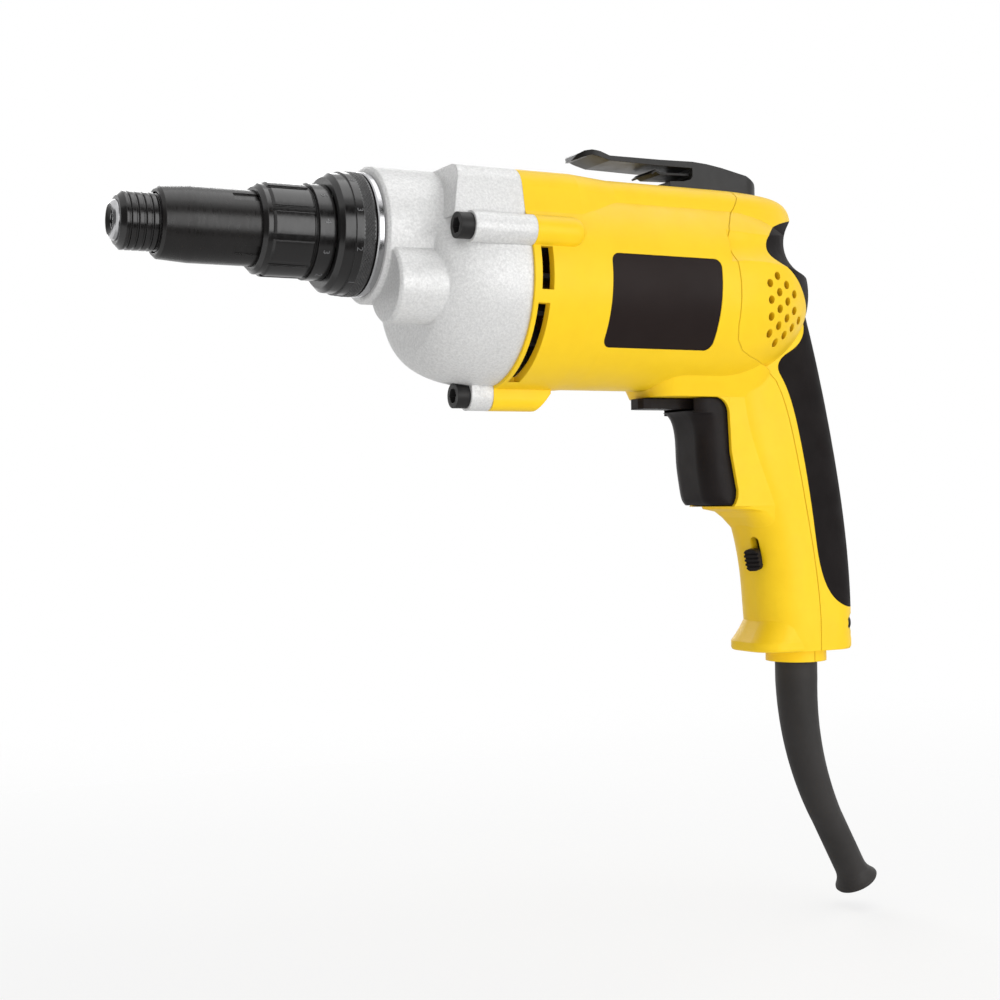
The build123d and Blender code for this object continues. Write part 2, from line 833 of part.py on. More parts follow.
with BuildPart() as case_hollow:
    revolve(dome_section(case_wall, seam_x + 1), axis=motor_axis)
    revolve(
        ring_section(motor_plane, plate_front - seat_gap, seam_x + 1, 0, dome_r - case_wall),
        axis=motor_axis,
    )
    revolve(ring_section(spindle_plane, case_floor, seam_x + 1, 0, tube_r - case_wall), axis=spindle_axis)
    revolve(
        ring_section(spindle_plane, case_front - spigot_len - 1, case_floor + 1, 0, spigot_bore_r),
        axis=spindle_axis,
    )
    revolve(ring_section(idler_plane, idler_bush_rear, idler_rear, 0, boss_r - case_wall), axis=idler_axis)
    revolve(
        ring_section(idler_plane, idler_bush_front, idler_bush_rear + 1, 0, idler_bush_r + running_gap),
        axis=idler_axis,
    )
with BuildPart() as gear_case:
    revolve(dome_section(0.0, seam_x), axis=motor_axis)
    revolve(
        half_section(
            spindle_plane,
            (case_front, 0),
            (case_front, tube_r - 1.0),
            (case_front + 1.0, tube_r),
            (seam_x - block_len, tube_r),
            (seam_x, ridge_top - 0.3),
            (seam_x, 0),
        ),
        axis=spindle_axis,
    )
    revolve(
        half_section(
            idler_plane,
            (case_front + boss_back, 0),
            (case_front + boss_back, boss_r - 1.0),
            (case_front + boss_back + 1.0, boss_r),
            (idler_rear, boss_r),
            (idler_rear, 0),
        ),
        axis=idler_axis,
    )
    add(case_block.part)
    for side in (-1, 1):
        with BuildSketch(across(seam_x, side * upper_lug_y, upper_lug_z)):
            Circle(lug_r)
        extrude(amount=-upper_lug_len)
    with BuildSketch(across(seam_x, 0, lower_lug_z)):
        Circle(lug_r)
        with Locations((0, 6)):
            Rectangle(2 * lug_r, 12)
    extrude(amount=-lower_lug_len)
    revolve(
        ring_section(spindle_plane, lock_ring_front + 0.7, case_front + 1, 0, spigot_root_r),
        axis=spindle_axis,
    )
    revolve(
        ring_section(spindle_plane, case_front - spigot_len, case_front + 1, 0, spigot_r), axis=spindle_axis
    )
    add(case_hollow.part, mode=Mode.SUBTRACT)
    # slots in the spigot that keep the spring nut from turning
    with Locations((spring_nut_x + (spring_nut_len + spring_nut_travel) / 2, 0, 0)):
        Box(
            spring_nut_len + spring_nut_travel + 2 * free_gap,
            nut_lug_width + 2 * seat_gap,
            2 * spigot_r + 2,
            mode=Mode.SUBTRACT,
        )
    for lug_y, lug_z, lug_len in (
        (-upper_lug_y, upper_lug_z, upper_lug_len),
        (upper_lug_y, upper_lug_z, upper_lug_len),
        (0, lower_lug_z, lower_lug_len),
    ):
        with BuildSketch(across(seam_x + 1, lug_y, lug_z)):
            Circle(case_screw_r + running_gap)
        extrude(amount=-lug_len - 2, mode=Mode.SUBTRACT)
        with BuildSketch(across(seam_x - lug_len, lug_y, lug_z)):
            Circle(case_screw_head_r + free_gap)
        extrude(amount=-2 * lug_len, mode=Mode.SUBTRACT)
gear_case.part.label = "gear_case"
export_step(gear_case.part, "parts/gear_case.step")


def cap_screw(head_face, length, head_r, head_len, shank_r, recess_flats):
    """A cap screw: the plane lies under its head and points along the shank."""
    with BuildPart() as screw:
        with BuildSketch(head_face):
            Circle(head_r)
        extrude(amount=-head_len)
        with BuildSketch(head_face):
            Circle(shank_r)
        extrude(amount=length)
        with BuildSketch(head_face.offset(-head_len)):
            RegularPolygon(recess_flats / 2, 6, major_radius=False)
        extrude(amount=head_len * 0.6, mode=Mode.SUBTRACT)
    return screw.part


# Gear case screws: two beside the tube, one below
with BuildPart() as gear_case_screws:
    for side in (-1, 1):
        add(
            cap_screw(
                across(seam_x - upper_lug_len, side * upper_lug_y, upper_lug_z),
                upper_lug_len + upper_fairing - 3,
                case_screw_head_r,
                case_screw_head_len,
                case_screw_r,
                case_screw_flats,
            )
        )
    add(
        cap_screw(
            across(seam_x - lower_lug_len, 0, lower_lug_z),
            lower_lug_len + lower_fairing - 6,
            case_screw_head_r,
            case_screw_head_len,
            case_screw_r,
            case_screw_flats,
        )
    )
gear_case_screws.part.label = "gear_case_screws"
export_step(gear_case_screws.part, "parts/gear_case_screws.step")

# Handle cover screws, sunk in the back of the base
with BuildPart() as handle_cover_screws:
    for side in (-1, 1):
        face = Plane((cover_head_x, side * cover_screw_y, cover_screw_z), x_dir=(0, 1, 0), z_dir=(-1, 0, 0))
        add(cap_screw(face, cover_head_x - 254.0, 3.2, 2.4, cover_screw_r, 2.5))
handle_cover_screws.part.label = "handle_cover_screws"
export_step(handle_cover_screws.part, "parts/handle_cover_screws.step")

# Polished ring against the gear case
with BuildPart() as trim_ring:
    revolve(
        half_section(
            spindle_plane,
            (trim_ring_front, spigot_root_r + running_gap),
            (case_front, spigot_root_r + running_gap),
            (case_front, trim_ring_r - 0.3),
            (case_front - 0.5, trim_ring_r),
            (trim_ring_front + 0.5, trim_ring_r),
            (trim_ring_front, trim_ring_r - 0.3),
        ),
        axis=spindle_axis,
    )
trim_ring.part.label = "trim_ring"
export_step(trim_ring.part, "parts/trim_ring.step")

# Lock ring: a plain numbered band in front, the grip band behind
with BuildPart() as lock_ring:
    revolve(
        half_section(
            spindle_plane,
            (lock_ring_front, spigot_root_r + running_gap),
            (trim_ring_front - seat_gap, spigot_root_r + running_gap),
            (trim_ring_front - seat_gap, lock_ring_r - 0.4),
            (trim_ring_front - 0.6, lock_ring_r),
            (lock_ring_front + lock_ring_face, lock_ring_r),
            (lock_ring_front + lock_ring_face, lock_ring_r - 0.5),
            (lock_ring_front + 1.5, lock_ring_r - 0.7),
            (lock_ring_front, lock_ring_r - 2.2),
        ),
        axis=spindle_axis,
    )
lock_ring.part.label = "lock_ring"
export_step(lock_ring.part, "parts/lock_ring.step")

# Adjusting collar with raised grip pads, a numbered band and keys in the sleeve's notches
with BuildPart() as pad_form:
    revolve(
        half_section(
            spindle_plane,
            (collar_front + 3.0, collar_r - 0.5),
            (collar_rear - collar_band_len - 1.2, collar_r - 0.5),
            (collar_rear - collar_band_len - 1.2, collar_r + pad_height - 0.3),
            (collar_rear - collar_band_len - 1.6, collar_r + pad_height),
            (collar_front + 3.8, collar_r + pad_height),
            (collar_front + 3.0, collar_r + pad_height - 0.5),
        ),
        axis=spindle_axis,
    )
    with BuildSketch(across(collar_front)):
        with PolarLocations(collar_r, pad_count, 360 / pad_count / 2):
            Rectangle(4, 2.2)
    extrude(amount=collar_len, mode=Mode.SUBTRACT)
with BuildPart() as adjusting_collar:
    revolve(
        half_section(
            spindle_plane,
            (collar_front, nose_r + running_gap),
            (collar_spring_front - 1.3, nose_r + running_gap),
            (collar_spring_front - 1.3, collar_r - 1.2),
            (collar_spring_rear, collar_r - 1.2),
            (collar_spring_rear, nose_r + running_gap),
            (collar_rear, nose_r + running_gap),
            (collar_rear, collar_band_r),
            (collar_rear - collar_band_len, collar_band_r),
            (collar_rear - collar_band_len, collar_r - 0.5),
            (collar_rear - collar_band_len - 0.8, collar_r - 0.5),
            (collar_rear - collar_band_len - 0.8, collar_r),
            (collar_front + 1.3, collar_r - 0.2),
            (collar_front, collar_r - 1.5),
        ),
        axis=spindle_axis,
    )
    add(pad_form.part)
    with BuildSketch(across(collar_spring_rear + 0.2)):
        with PolarLocations((notch_floor_r + seat_gap + nose_r + 0.5) / 2, notch_count, 45):
            Rectangle(nose_r + 0.5 - notch_floor_r - seat_gap, notch_width - 0.3)
    extrude(amount=nose_front + nose_len - collar_spring_rear - 0.4)
adjusting_collar.part.label = "adjusting_collar"
export_step(adjusting_collar.part, "parts/adjusting_collar.step")

# Torque sleeve: the nose that is turned to set the torque
with BuildPart() as torque_sleeve:
    revolve(
        half_section(
            spindle_plane,
            (nose_front, release_r + 0.5),
            (mouth_floor, release_r + 0.5),
            (mouth_floor, mouth_bore_r),
            (mouth_floor + 3.5, mouth_bore_r),
            (mouth_floor + 3.5, spigot_bore_r),
            (case_front - spigot_len - 0.6, spigot_bore_r),
            (case_front - spigot_len - 0.6, spigot_r + running_gap),
            (nose_front + nose_len, spigot_r + running_gap),
            (nose_front + nose_len, nose_r),
            (nose_front + nose_cone_len, nose_r - 0.05),
            (nose_front + 1.0, nose_front_r),
            (nose_front, nose_front_r - 0.9),
        ),
        axis=spindle_axis,
    )
    with BuildSketch(across(nose_front + nose_len - notch_len)):
        with PolarLocations((notch_floor_r + nose_r + 2) / 2, notch_count, 45):
            Rectangle(nose_r + 2 - notch_floor_r, notch_width)
    extrude(amount=notch_len + 1, mode=Mode.SUBTRACT)
torque_sleeve.part.label = "torque_sleeve"
export_step(torque_sleeve.part, "parts/torque_sleeve.step")

# Retaining ring on the torque sleeve and the spring that holds the collar back
with BuildPart() as collar_ring:
    revolve(
        ring_section(
            spindle_plane, collar_spring_front - 1.2, collar_spring_front, nose_r + 0.02, collar_r - 1.5
        ),
        axis=spindle_axis,
    )
collar_ring.part.label = "collar_ring"
export_step(collar_ring.part, "parts/collar_ring.step")
with BuildPart() as collar_spring:
    add(
        coil_spring(
            across(collar_spring_front + 0.1),
            (nose_r + collar_r - 1.2) / 2,
            0.4,
            collar_spring_rear - collar_spring_front - 0.2,
            3.0,
        )
    )
collar_spring.part.label = "collar_spring"
export_step(collar_spring.part, "parts/collar_spring.step")

# Spindle with the hex bit socket, its retaining ring and bit ball
with BuildPart() as output_spindle:
    revolve(
        half_section(
            spindle_plane,
            (0, 0),
            (0, holder_r - 1.5),
            (0.2, holder_r - 1.0),
            (0.7, holder_r - 0.4),
            (1.5, holder_r),
            (sleeve_stop, holder_r),
            (sleeve_stop, release_r - 1.4),
            (sleeve_stop + 2, release_r - 1.4),
            (sleeve_stop + 2, holder_r),
            (holder_len, holder_r),
            (holder_len, spindle_r),
            (cam_rear, spindle_r),
            (cam_rear, pilot_r),
            (drive_front + 12.0, pilot_r),
            (drive_front + 12.0, 0),
        ),
        axis=spindle_axis,
    )
    with BuildSketch(across(-1)):
        RegularPolygon(socket_flats / 2, 6, major_radius=False)
    extrude(amount=socket_depth + 1, mode=Mode.SUBTRACT)
    revolve(
        half_section(
            spindle_plane, (-0.1, 0), (-0.1, holder_r - 1.8), (1.2, socket_flats / 2 + 0.2), (1.2, 0)
        ),
        axis=spindle_axis,
        mode=Mode.SUBTRACT,
    )
    with BuildSketch(across(cam_front - 0.2)):
        Circle(spindle_r + 1)
        RegularPolygon(cam_flats / 2, 6, major_radius=False, mode=Mode.SUBTRACT)
    extrude(amount=cam_len + 0.2, mode=Mode.SUBTRACT)
    with Locations((bit_ball_x, 0, 5)):
        Cylinder(bit_ball_r + running_gap, 6, mode=Mode.SUBTRACT)
output_spindle.part.label = "output_spindle"
export_step(output_spindle.part, "parts/output_spindle.step")
with BuildPart() as bit_ball:
    with Locations((bit_ball_x, 0, holder_r - bit_ball_r - 0.15)):
        Sphere(bit_ball_r)
bit_ball.part.label = "bit_ball"
export_step(bit_ball.part, "parts/bit_ball.step")

# Bit release sleeve with turned ribs, and its spring
with BuildPart() as release_sleeve:
    revolve(
        half_section(
            spindle_plane,
            (release_front, holder_r + running_gap),
            (release_spring_x, holder_r + running_gap),
            (release_spring_x, release_r - 1.1),
            (release_front + release_len, release_r - 1.1),
            (release_front + release_len, release_r),
            (release_front + 1.6, release_r),
            (release_front, release_r - 1.6),
        ),
        axis=spindle_axis,
    )
    for rib in range(release_rib_count):
        groove_x = release_front + 2.9 + rib * release_rib_pitch
        revolve(
            half_section(
                spindle_plane,
                (groove_x - 0.55, release_r + 0.1),
                (groove_x - 0.25, release_r - 0.55),
                (groove_x + 0.25, release_r - 0.55),
                (groove_x + 0.55, release_r + 0.1),
            ),
            axis=spindle_axis,
            mode=Mode.SUBTRACT,
        )
release_sleeve.part.label = "release_sleeve"
export_step(release_sleeve.part, "parts/release_sleeve.step")
with BuildPart() as release_spring:
    add(
        coil_spring(
            across(release_spring_x + 0.1),
            (holder_r + release_r - 1.1) / 2,
            0.4,
            sleeve_stop - release_spring_x - 0.2,
            3.5,
        )
    )
release_spring.part.label = "release_spring"
export_step(release_spring.part, "parts/release_spring.step")

# Front spindle bush in the spigot
with BuildPart() as spindle_bush:
    revolve(
        ring_section(
            spindle_plane,
            case_front - spigot_len + 0.4,
            spring_nut_x - 2.0,
            spindle_r + running_gap,
            spigot_bore_r - running_gap,
        ),
        axis=spindle_axis,
    )
spindle_bush.part.label = "spindle_bush"
export_step(spindle_bush.part, "parts/spindle_bush.step")

# Spring nut with two lugs in the spigot's slots, clutch spring and thrust washer
with BuildPart() as spring_nut:
    with BuildSketch(across(spring_nut_x)):
        Circle(spigot_bore_r - running_gap)
        Rectangle(nut_lug_width, 2 * (spigot_r - 0.35))
        Circle(spindle_r + free_gap, mode=Mode.SUBTRACT)
    extrude(amount=spring_nut_len)
spring_nut.part.label = "spring_nut"
export_step(spring_nut.part, "parts/spring_nut.step")
with BuildPart() as clutch_spring:
    add(
        coil_spring(
            across(spring_nut_x + spring_nut_len + 0.1),
            (spindle_r + spigot_bore_r) / 2,
            1.0,
            washer_front - spring_nut_x - spring_nut_len - 0.2,
            7.0,
        )
    )
clutch_spring.part.label = "clutch_spring"
export_step(clutch_spring.part, "parts/clutch_spring.step")
with BuildPart() as thrust_washer:
    revolve(
        ring_section(
            spindle_plane, washer_front, cam_front - 0.05, spindle_r + running_gap, spigot_bore_r - 0.4
        ),
        axis=spindle_axis,
    )
thrust_washer.part.label = "thrust_washer"
export_step(thrust_washer.part, "parts/thrust_washer.step")

# Clutch cam on the spindle, with dimples for the balls
with BuildPart() as clutch_cam:
    with BuildSketch(across(cam_front)):
        Circle(cam_r)
        RegularPolygon(cam_flats / 2 + running_gap, 6, major_radius=False, mode=Mode.SUBTRACT)
    extrude(amount=cam_len)
    with Locations(across(drive_front + 0.1 - press_travel)):
        with PolarLocations(clutch_ball_ring, clutch_ball_count):
            Sphere(clutch_ball_r + 0.15, mode=Mode.SUBTRACT)
clutch_cam.part.label = "clutch_cam"
export_step(clutch_cam.part, "parts/clutch_cam.step")
with BuildPart() as clutch_balls:
    with Locations(across(drive_front + 0.1)):
        with PolarLocations(clutch_ball_ring, clutch_ball_count):
            Sphere(clutch_ball_r)
clutch_balls.part.label = "clutch_balls"
export_step(clutch_balls.part, "parts/clutch_balls.step")
with BuildPart() as return_spring:
    add(
        coil_spring(
            across(cam_rear + 0.1),
            (pilot_r + return_recess_r) / 2 + 0.3,
            0.45,
            drive_front + return_recess_deep - cam_rear - 0.2,
            4.5,
        )
    )
return_spring.part.label = "return_spring"
export_step(return_spring.part, "parts/return_spring.step")

# Drive gear, turning on the spindle's pilot and in a bush at its rear
with BuildPart() as drive_gear:
    extrude(
        gear_face(across(drive_front), drive_teeth, coarse_module, 0.9, to_idler + half_drive_pitch),
        amount=drive_gear_width,
    )
    revolve(
        ring_section(spindle_plane, drive_rear - 1, plate_front + 2.6, 0, drive_journal_r), axis=spindle_axis
    )
    revolve(
        ring_section(spindle_plane, drive_front - 1, drive_front + 18, 0, pilot_r + running_gap),
        axis=spindle_axis,
        mode=Mode.SUBTRACT,
    )
    revolve(
        ring_section(spindle_plane, drive_front - 1, drive_front + return_recess_deep, 0, return_recess_r),
        axis=spindle_axis,
        mode=Mode.SUBTRACT,
    )
    with Locations(across(drive_front + 0.1)):
        with PolarLocations(clutch_ball_ring, clutch_ball_count):
            Sphere(clutch_ball_r + running_gap, mode=Mode.SUBTRACT)
drive_gear.part.label = "drive_gear"
export_step(drive_gear.part, "parts/drive_gear.step")
with BuildPart() as drive_bush:
    revolve(
        ring_section(
            spindle_plane, plate_front + 0.1, plate_front + 3.4, drive_journal_r + running_gap, drive_bush_r
        ),
        axis=spindle_axis,
    )
drive_bush.part.label = "drive_bush"
export_step(drive_bush.part, "parts/drive_bush.step")

# Intermediate shaft with its pinion, the intermediate gear, and their bushes
with BuildPart() as idler_shaft:
    extrude(
        gear_face(
            across(drive_front - 1.5, idler_y, idler_z), idler_pinion_teeth, coarse_module, 0.9, to_spindle
        ),
        amount=drive_gear_width + 2.5,
    )
    revolve(
        ring_section(idler_plane, idler_bush_front + 0.2, drive_front - 1, 0, idler_journal_r),
        axis=idler_axis,
    )
    revolve(ring_section(idler_plane, drive_rear, idler_rear, 0, idler_seat_r), axis=idler_axis)
    revolve(ring_section(idler_plane, idler_rear - 1, plate_front + 6.4, 0, idler_journal_r), axis=idler_axis)
idler_shaft.part.label = "idler_shaft"
export_step(idler_shaft.part, "parts/idler_shaft.step")
with BuildPart() as idler_gear:
    extrude(
        gear_face(
            across(idler_front, idler_y, idler_z), idler_teeth, fine_module, 0.7, to_motor + half_idler_pitch
        ),
        amount=idler_gear_width,
    )
    revolve(
        ring_section(idler_plane, idler_front - 1, idler_rear + 1, 0, idler_seat_r + running_gap / 2),
        axis=idler_axis,
        mode=Mode.SUBTRACT,
    )
idler_gear.part.label = "idler_gear"
export_step(idler_gear.part, "parts/idler_gear.step")
with BuildPart() as idler_bushes:
    revolve(
        ring_section(
            idler_plane, idler_bush_front + 0.1, idler_bush_rear, idler_journal_r + running_gap, idler_bush_r
        ),
        axis=idler_axis,
    )
    revolve(
        ring_section(
            idler_plane, plate_front + 0.3, plate_front + 6.6, idler_journal_r + running_gap, idler_bush_r
        ),
        axis=idler_axis,
    )
idler_bushes.part.label = "idler_bushes"
export_step(idler_bushes.part, "parts/idler_bushes.step")

# Bearing plate between gear case and motor
with BuildPart() as bearing_plate:
    revolve(
        ring_section(motor_plane, plate_front, plate_rear, 0, dome_r - case_wall - seat_gap), axis=motor_axis
    )
    revolve(
        ring_section(motor_plane, plate_front - 1, plate_rear + 1, 0, bearing_bore_r + 1.0),
        axis=motor_axis,
        mode=Mode.SUBTRACT,
    )
    revolve(
        ring_section(motor_plane, bearing_front, plate_rear + 1, 0, bearing_r + running_gap),
        axis=motor_axis,
        mode=Mode.SUBTRACT,
    )
    revolve(
        ring_section(spindle_plane, plate_front - 1, plate_front + 3.5, 0, drive_bush_r + running_gap),
        axis=spindle_axis,
        mode=Mode.SUBTRACT,
    )
    revolve(
        ring_section(idler_plane, plate_front - 1, plate_front + 6.7, 0, idler_bush_r + running_gap),
        axis=idler_axis,
        mode=Mode.SUBTRACT,
    )
bearing_plate.part.label = "bearing_plate"
export_step(bearing_plate.part, "parts/bearing_plate.step")

# Armature bearings: outer rings with balls, and the inner rings on the shaft
ball_ring_r = (bearing_bore_r + bearing_r) / 2
bearing_ball_r = (bearing_r - bearing_bore_r) / 4.4
with BuildPart() as bearing_outers:
    for front in (bearing_front, rear_bearing_front):
        revolve(
            ring_section(
                motor_plane, front, front + bearing_width, ball_ring_r + bearing_ball_r + 0.06, bearing_r
            ),
            axis=motor_axis,
        )
        with Locations(across(front + bearing_width / 2, 0, motor_z)):
            with PolarLocations(ball_ring_r, 7):
                Sphere(bearing_ball_r)
bearing_outers.part.label = "bearing_outers"
export_step(bearing_outers.part, "parts/bearing_outers.step")
with BuildPart() as bearing_inners:
    for front in (bearing_front, rear_bearing_front):
        revolve(
            ring_section(
                motor_plane,
                front,
                front + bearing_width,
                bearing_bore_r + running_gap / 2,
                ball_ring_r - bearing_ball_r - 0.06,
            ),
            axis=motor_axis,
        )
bearing_inners.part.label = "bearing_inners"
export_step(bearing_inners.part, "parts/bearing_inners.step")

# Armature: shaft with pinion, slotted core, windings, commutator and fan
with BuildPart() as armature_shaft:
    extrude(
        gear_face(across(drive_rear + 1.4, 0, motor_z), armature_teeth, fine_module, 0.9, from_motor),
        amount=plate_front - 0.4 - drive_rear - 1.4,
    )
    revolve(
        half_section(
            motor_plane,
            (plate_front - 1.4, 0),
            (plate_front - 1.4, fine_module * armature_teeth / 2 - 1.0 * fine_module),
            (plate_front - 0.4, bearing_bore_r),
            (plate_rear + 0.8, bearing_bore_r),
            (plate_rear + 0.8, shaft_r),
            (rear_bearing_front - 0.6, shaft_r),
            (rear_bearing_front - 0.6, bearing_bore_r),
            (rear_bearing_front + bearing_width, bearing_bore_r),
            (rear_bearing_front + bearing_width, 0),
        ),
        axis=motor_axis,
    )
armature_shaft.part.label = "armature_shaft"
export_step(armature_shaft.part, "parts/armature_shaft.step")
with BuildPart() as armature_core:
    with BuildSketch(across(core_x, 0, motor_z)):
        Circle(core_r)
        Circle(shaft_r + running_gap / 2, mode=Mode.SUBTRACT)
        with PolarLocations(core_r - slot_deep / 2 + 0.5, slot_count):
            Rectangle(slot_deep + 1.0, slot_width, mode=Mode.SUBTRACT)
    extrude(amount=core_len)
armature_core.part.label = "armature_core"
export_step(armature_core.part, "parts/armature_core.step")
with BuildPart() as armature_windings:
    with BuildSketch(across(core_x - winding_len, 0, motor_z)):
        with PolarLocations(core_r - slot_deep / 2 - 0.1, slot_count):
            Rectangle(slot_deep - 1.0, slot_width - 2 * seat_gap)
    extrude(amount=core_len + 2 * winding_len)
    for start in (core_x - winding_len, core_rear + seat_gap):
        revolve(
            half_section(
                motor_plane,
                (start, shaft_r + 2.0),
                (start + winding_len - seat_gap, shaft_r + 2.0),
                (start + winding_len - seat_gap, core_r - 1.0),
                (start + winding_len - 2.5, core_r - 0.8),
                (start + 2.5, core_r - 0.8),
                (start, core_r - 4.0),
            ),
            axis=motor_axis,
        )
armature_windings.part.label = "armature_windings"
export_step(armature_windings.part, "parts/armature_windings.step")
with BuildPart() as commutator:
    revolve(
        ring_section(
            motor_plane,
            commutator_front,
            commutator_front + commutator_len,
            shaft_r + running_gap / 2,
            commutator_r,
        ),
        axis=motor_axis,
    )
    with BuildSketch(across(commutator_front + 2.5, 0, motor_z)):
        with PolarLocations(commutator_r, 2 * slot_count):
            Rectangle(1.2, 0.5)
    extrude(amount=commutator_len, mode=Mode.SUBTRACT)
commutator.part.label = "commutator"
export_step(commutator.part, "parts/commutator.step")
with BuildPart() as cooling_fan:
    revolve(
        half_section(
            motor_plane,
            (fan_front, shaft_r + running_gap / 2),
            (fan_front + fan_len, shaft_r + running_gap / 2),
            (fan_front + fan_len, shaft_r + 3.0),
            (fan_front + 2.0, shaft_r + 3.0),
            (fan_front + 2.0, fan_r),
            (fan_front, fan_r),
        ),
        axis=motor_axis,
    )
    with BuildSketch(across(fan_front + 1.0, 0, motor_z)):
        with PolarLocations((fan_r + shaft_r + 9.0) / 2, fan_blades):
            Rectangle(fan_r - shaft_r - 9.0, 1.6)
    extrude(amount=fan_len - 1.0)
cooling_fan.part.label = "cooling_fan"
export_step(cooling_fan.part, "parts/cooling_fan.step")

# Fan baffle
with BuildPart() as fan_baffle:
    revolve(
        half_section(
            motor_plane,
            (fan_front + fan_len + 1.4, core_r + 3.0),
            (fan_front + fan_len + 3.6, core_r + 1.6),
            (fan_front + fan_len + 3.6, flange_r - wall - seat_gap),
            (fan_front + fan_len + 1.4, flange_r - wall - seat_gap),
        ),
        axis=motor_axis,
    )
fan_baffle.part.label = "fan_baffle"
export_step(fan_baffle.part, "parts/fan_baffle.step")

# Field: laminated ring with two poles, and a coil round each pole
with BuildPart() as field_core:
    with BuildSketch(across(core_x, 0, motor_z)):
        Circle(field_r)
        Circle(field_ring_r, mode=Mode.SUBTRACT)
        Rectangle(2 * field_ring_r + 2, pole_width)
        for turn in (0, 180):
            with Locations(Location((0, 0, 0), turn)):
                with BuildLine():
                    tip = CenterArc((0, 0), field_bore_r + shoe_thick, turn - shoe_half, 2 * shoe_half)
                    Line(tip @ 1, (0, 0))
                    Line((0, 0), tip @ 0)
                make_face()
        Circle(field_bore_r, mode=Mode.SUBTRACT)
    extrude(amount=core_len)
field_core.part.label = "field_core"
export_step(field_core.part, "parts/field_core.step")
with BuildPart() as field_coils:
    for turn in (0, 180):
        with BuildSketch(across(core_x - coil_overhang, 0, motor_z)):
            with BuildLine():
                tip = CenterArc((0, 0), field_ring_r - 0.3, turn - shoe_half + 2, 2 * shoe_half - 4)
                Line(tip @ 1, (0, 0))
                Line((0, 0), tip @ 0)
            make_face()
            Circle(field_bore_r + shoe_thick + 0.3, mode=Mode.SUBTRACT)
        extrude(amount=core_len + 2 * coil_overhang)
    with Locations((core_x + core_len / 2, 0, motor_z)):
        Box(core_len + 0.6, 4 * field_r, pole_width + 0.6, mode=Mode.SUBTRACT)
field_coils.part.label = "field_coils"
export_step(field_coils.part, "parts/field_coils.step")

# Brush plate with the rear bearing's boss
with BuildPart() as brush_plate:
    revolve(
        half_section(
            motor_plane,
            (brush_plate_front, shaft_r + 1.2),
            (rear_bearing_front - 0.2, shaft_r + 1.2),
            (rear_bearing_front - 0.2, bearing_r + running_gap),
            (rear_bearing_front + bearing_width + 0.4, bearing_r + running_gap),
            (rear_bearing_front + bearing_width + 0.4, bearing_r + 2.6),
            (brush_plate_front + 3.4, bearing_r + 2.6),
            (brush_plate_front + 3.4, brush_plate_r),
            (brush_plate_front, brush_plate_r),
        ),
        axis=motor_axis,
    )
    with BuildSketch(across(brush_plate_front - 1, 0, motor_z)):
        with PolarLocations((bearing_r + 2.6 + brush_plate_r) / 2, 4, 45):
            Circle(6.0)
    extrude(amount=8, mode=Mode.SUBTRACT)
brush_plate.part.label = "brush_plate"
export_step(brush_plate.part, "parts/brush_plate.step")

# Brush holders, carbon brushes and brush springs, left and right
for name, side in (("left", -1), ("right", 1)):
    with BuildPart() as brush_holder:
        with Locations((brush_x, side * (holder_in + holder_out) / 2, motor_z)):
            Box(2 * brush_box_half, holder_out - holder_in, 2 * brush_box_half)
        with Locations((brush_x, side * (holder_in + holder_out - holder_cap) / 2, motor_z)):
            Box(
                2 * (brush_half + running_gap),
                holder_out - holder_in - holder_cap,
                2 * (brush_half + running_gap),
                mode=Mode.SUBTRACT,
            )
        with Locations((brush_plate_front - 0.02, side * (holder_in + holder_out) / 2, motor_z)):
            Box(
                brush_plate_front - brush_x - brush_box_half + 0.2,
                6.0,
                6.0,
                align=(Align.MAX, Align.CENTER, Align.CENTER),
            )
    brush_holder.part.label = "brush_holder_" + name
    export_step(brush_holder.part, "parts/brush_holder_" + name + ".step")
    with BuildPart() as carbon_brush:
        with Locations((brush_x, side * (commutator_r + brush_len / 2), motor_z)):
            Box(2 * brush_half, brush_len, 2 * brush_half)
        revolve(
            ring_section(motor_plane, brush_x - 6, brush_x + 6, 0, commutator_r + running_gap),
            axis=motor_axis,
            mode=Mode.SUBTRACT,
        )
    carbon_brush.part.label = "carbon_brush_" + name
    export_step(carbon_brush.part, "parts/carbon_brush_" + name + ".step")
    with BuildPart() as brush_spring:
        add(
            coil_spring(
                Plane(
                    (brush_x, side * (commutator_r + brush_len + 0.1), motor_z),
                    x_dir=(1, 0, 0),
                    z_dir=(0, side, 0),
                ),
                2.4,
                0.3,
                holder_out - holder_cap - commutator_r - brush_len - 0.2,
                6.0,
            )
        )
    brush_spring.part.label = "brush_spring_" + name
    export_step(brush_spring.part, "parts/brush_spring_" + name + ".step")

# Front of the trigger: share of its height below the top, and how far it lies back there
trigger_profile = (
    (0.0, 0.0),
    (0.09, 3.4),
    (0.23, 4.8),
    (0.37, 5.2),
    (0.62, 5.7),
    (0.84, 6.9),
    (0.95, 8.0),
    (1.0, 9.6),
)

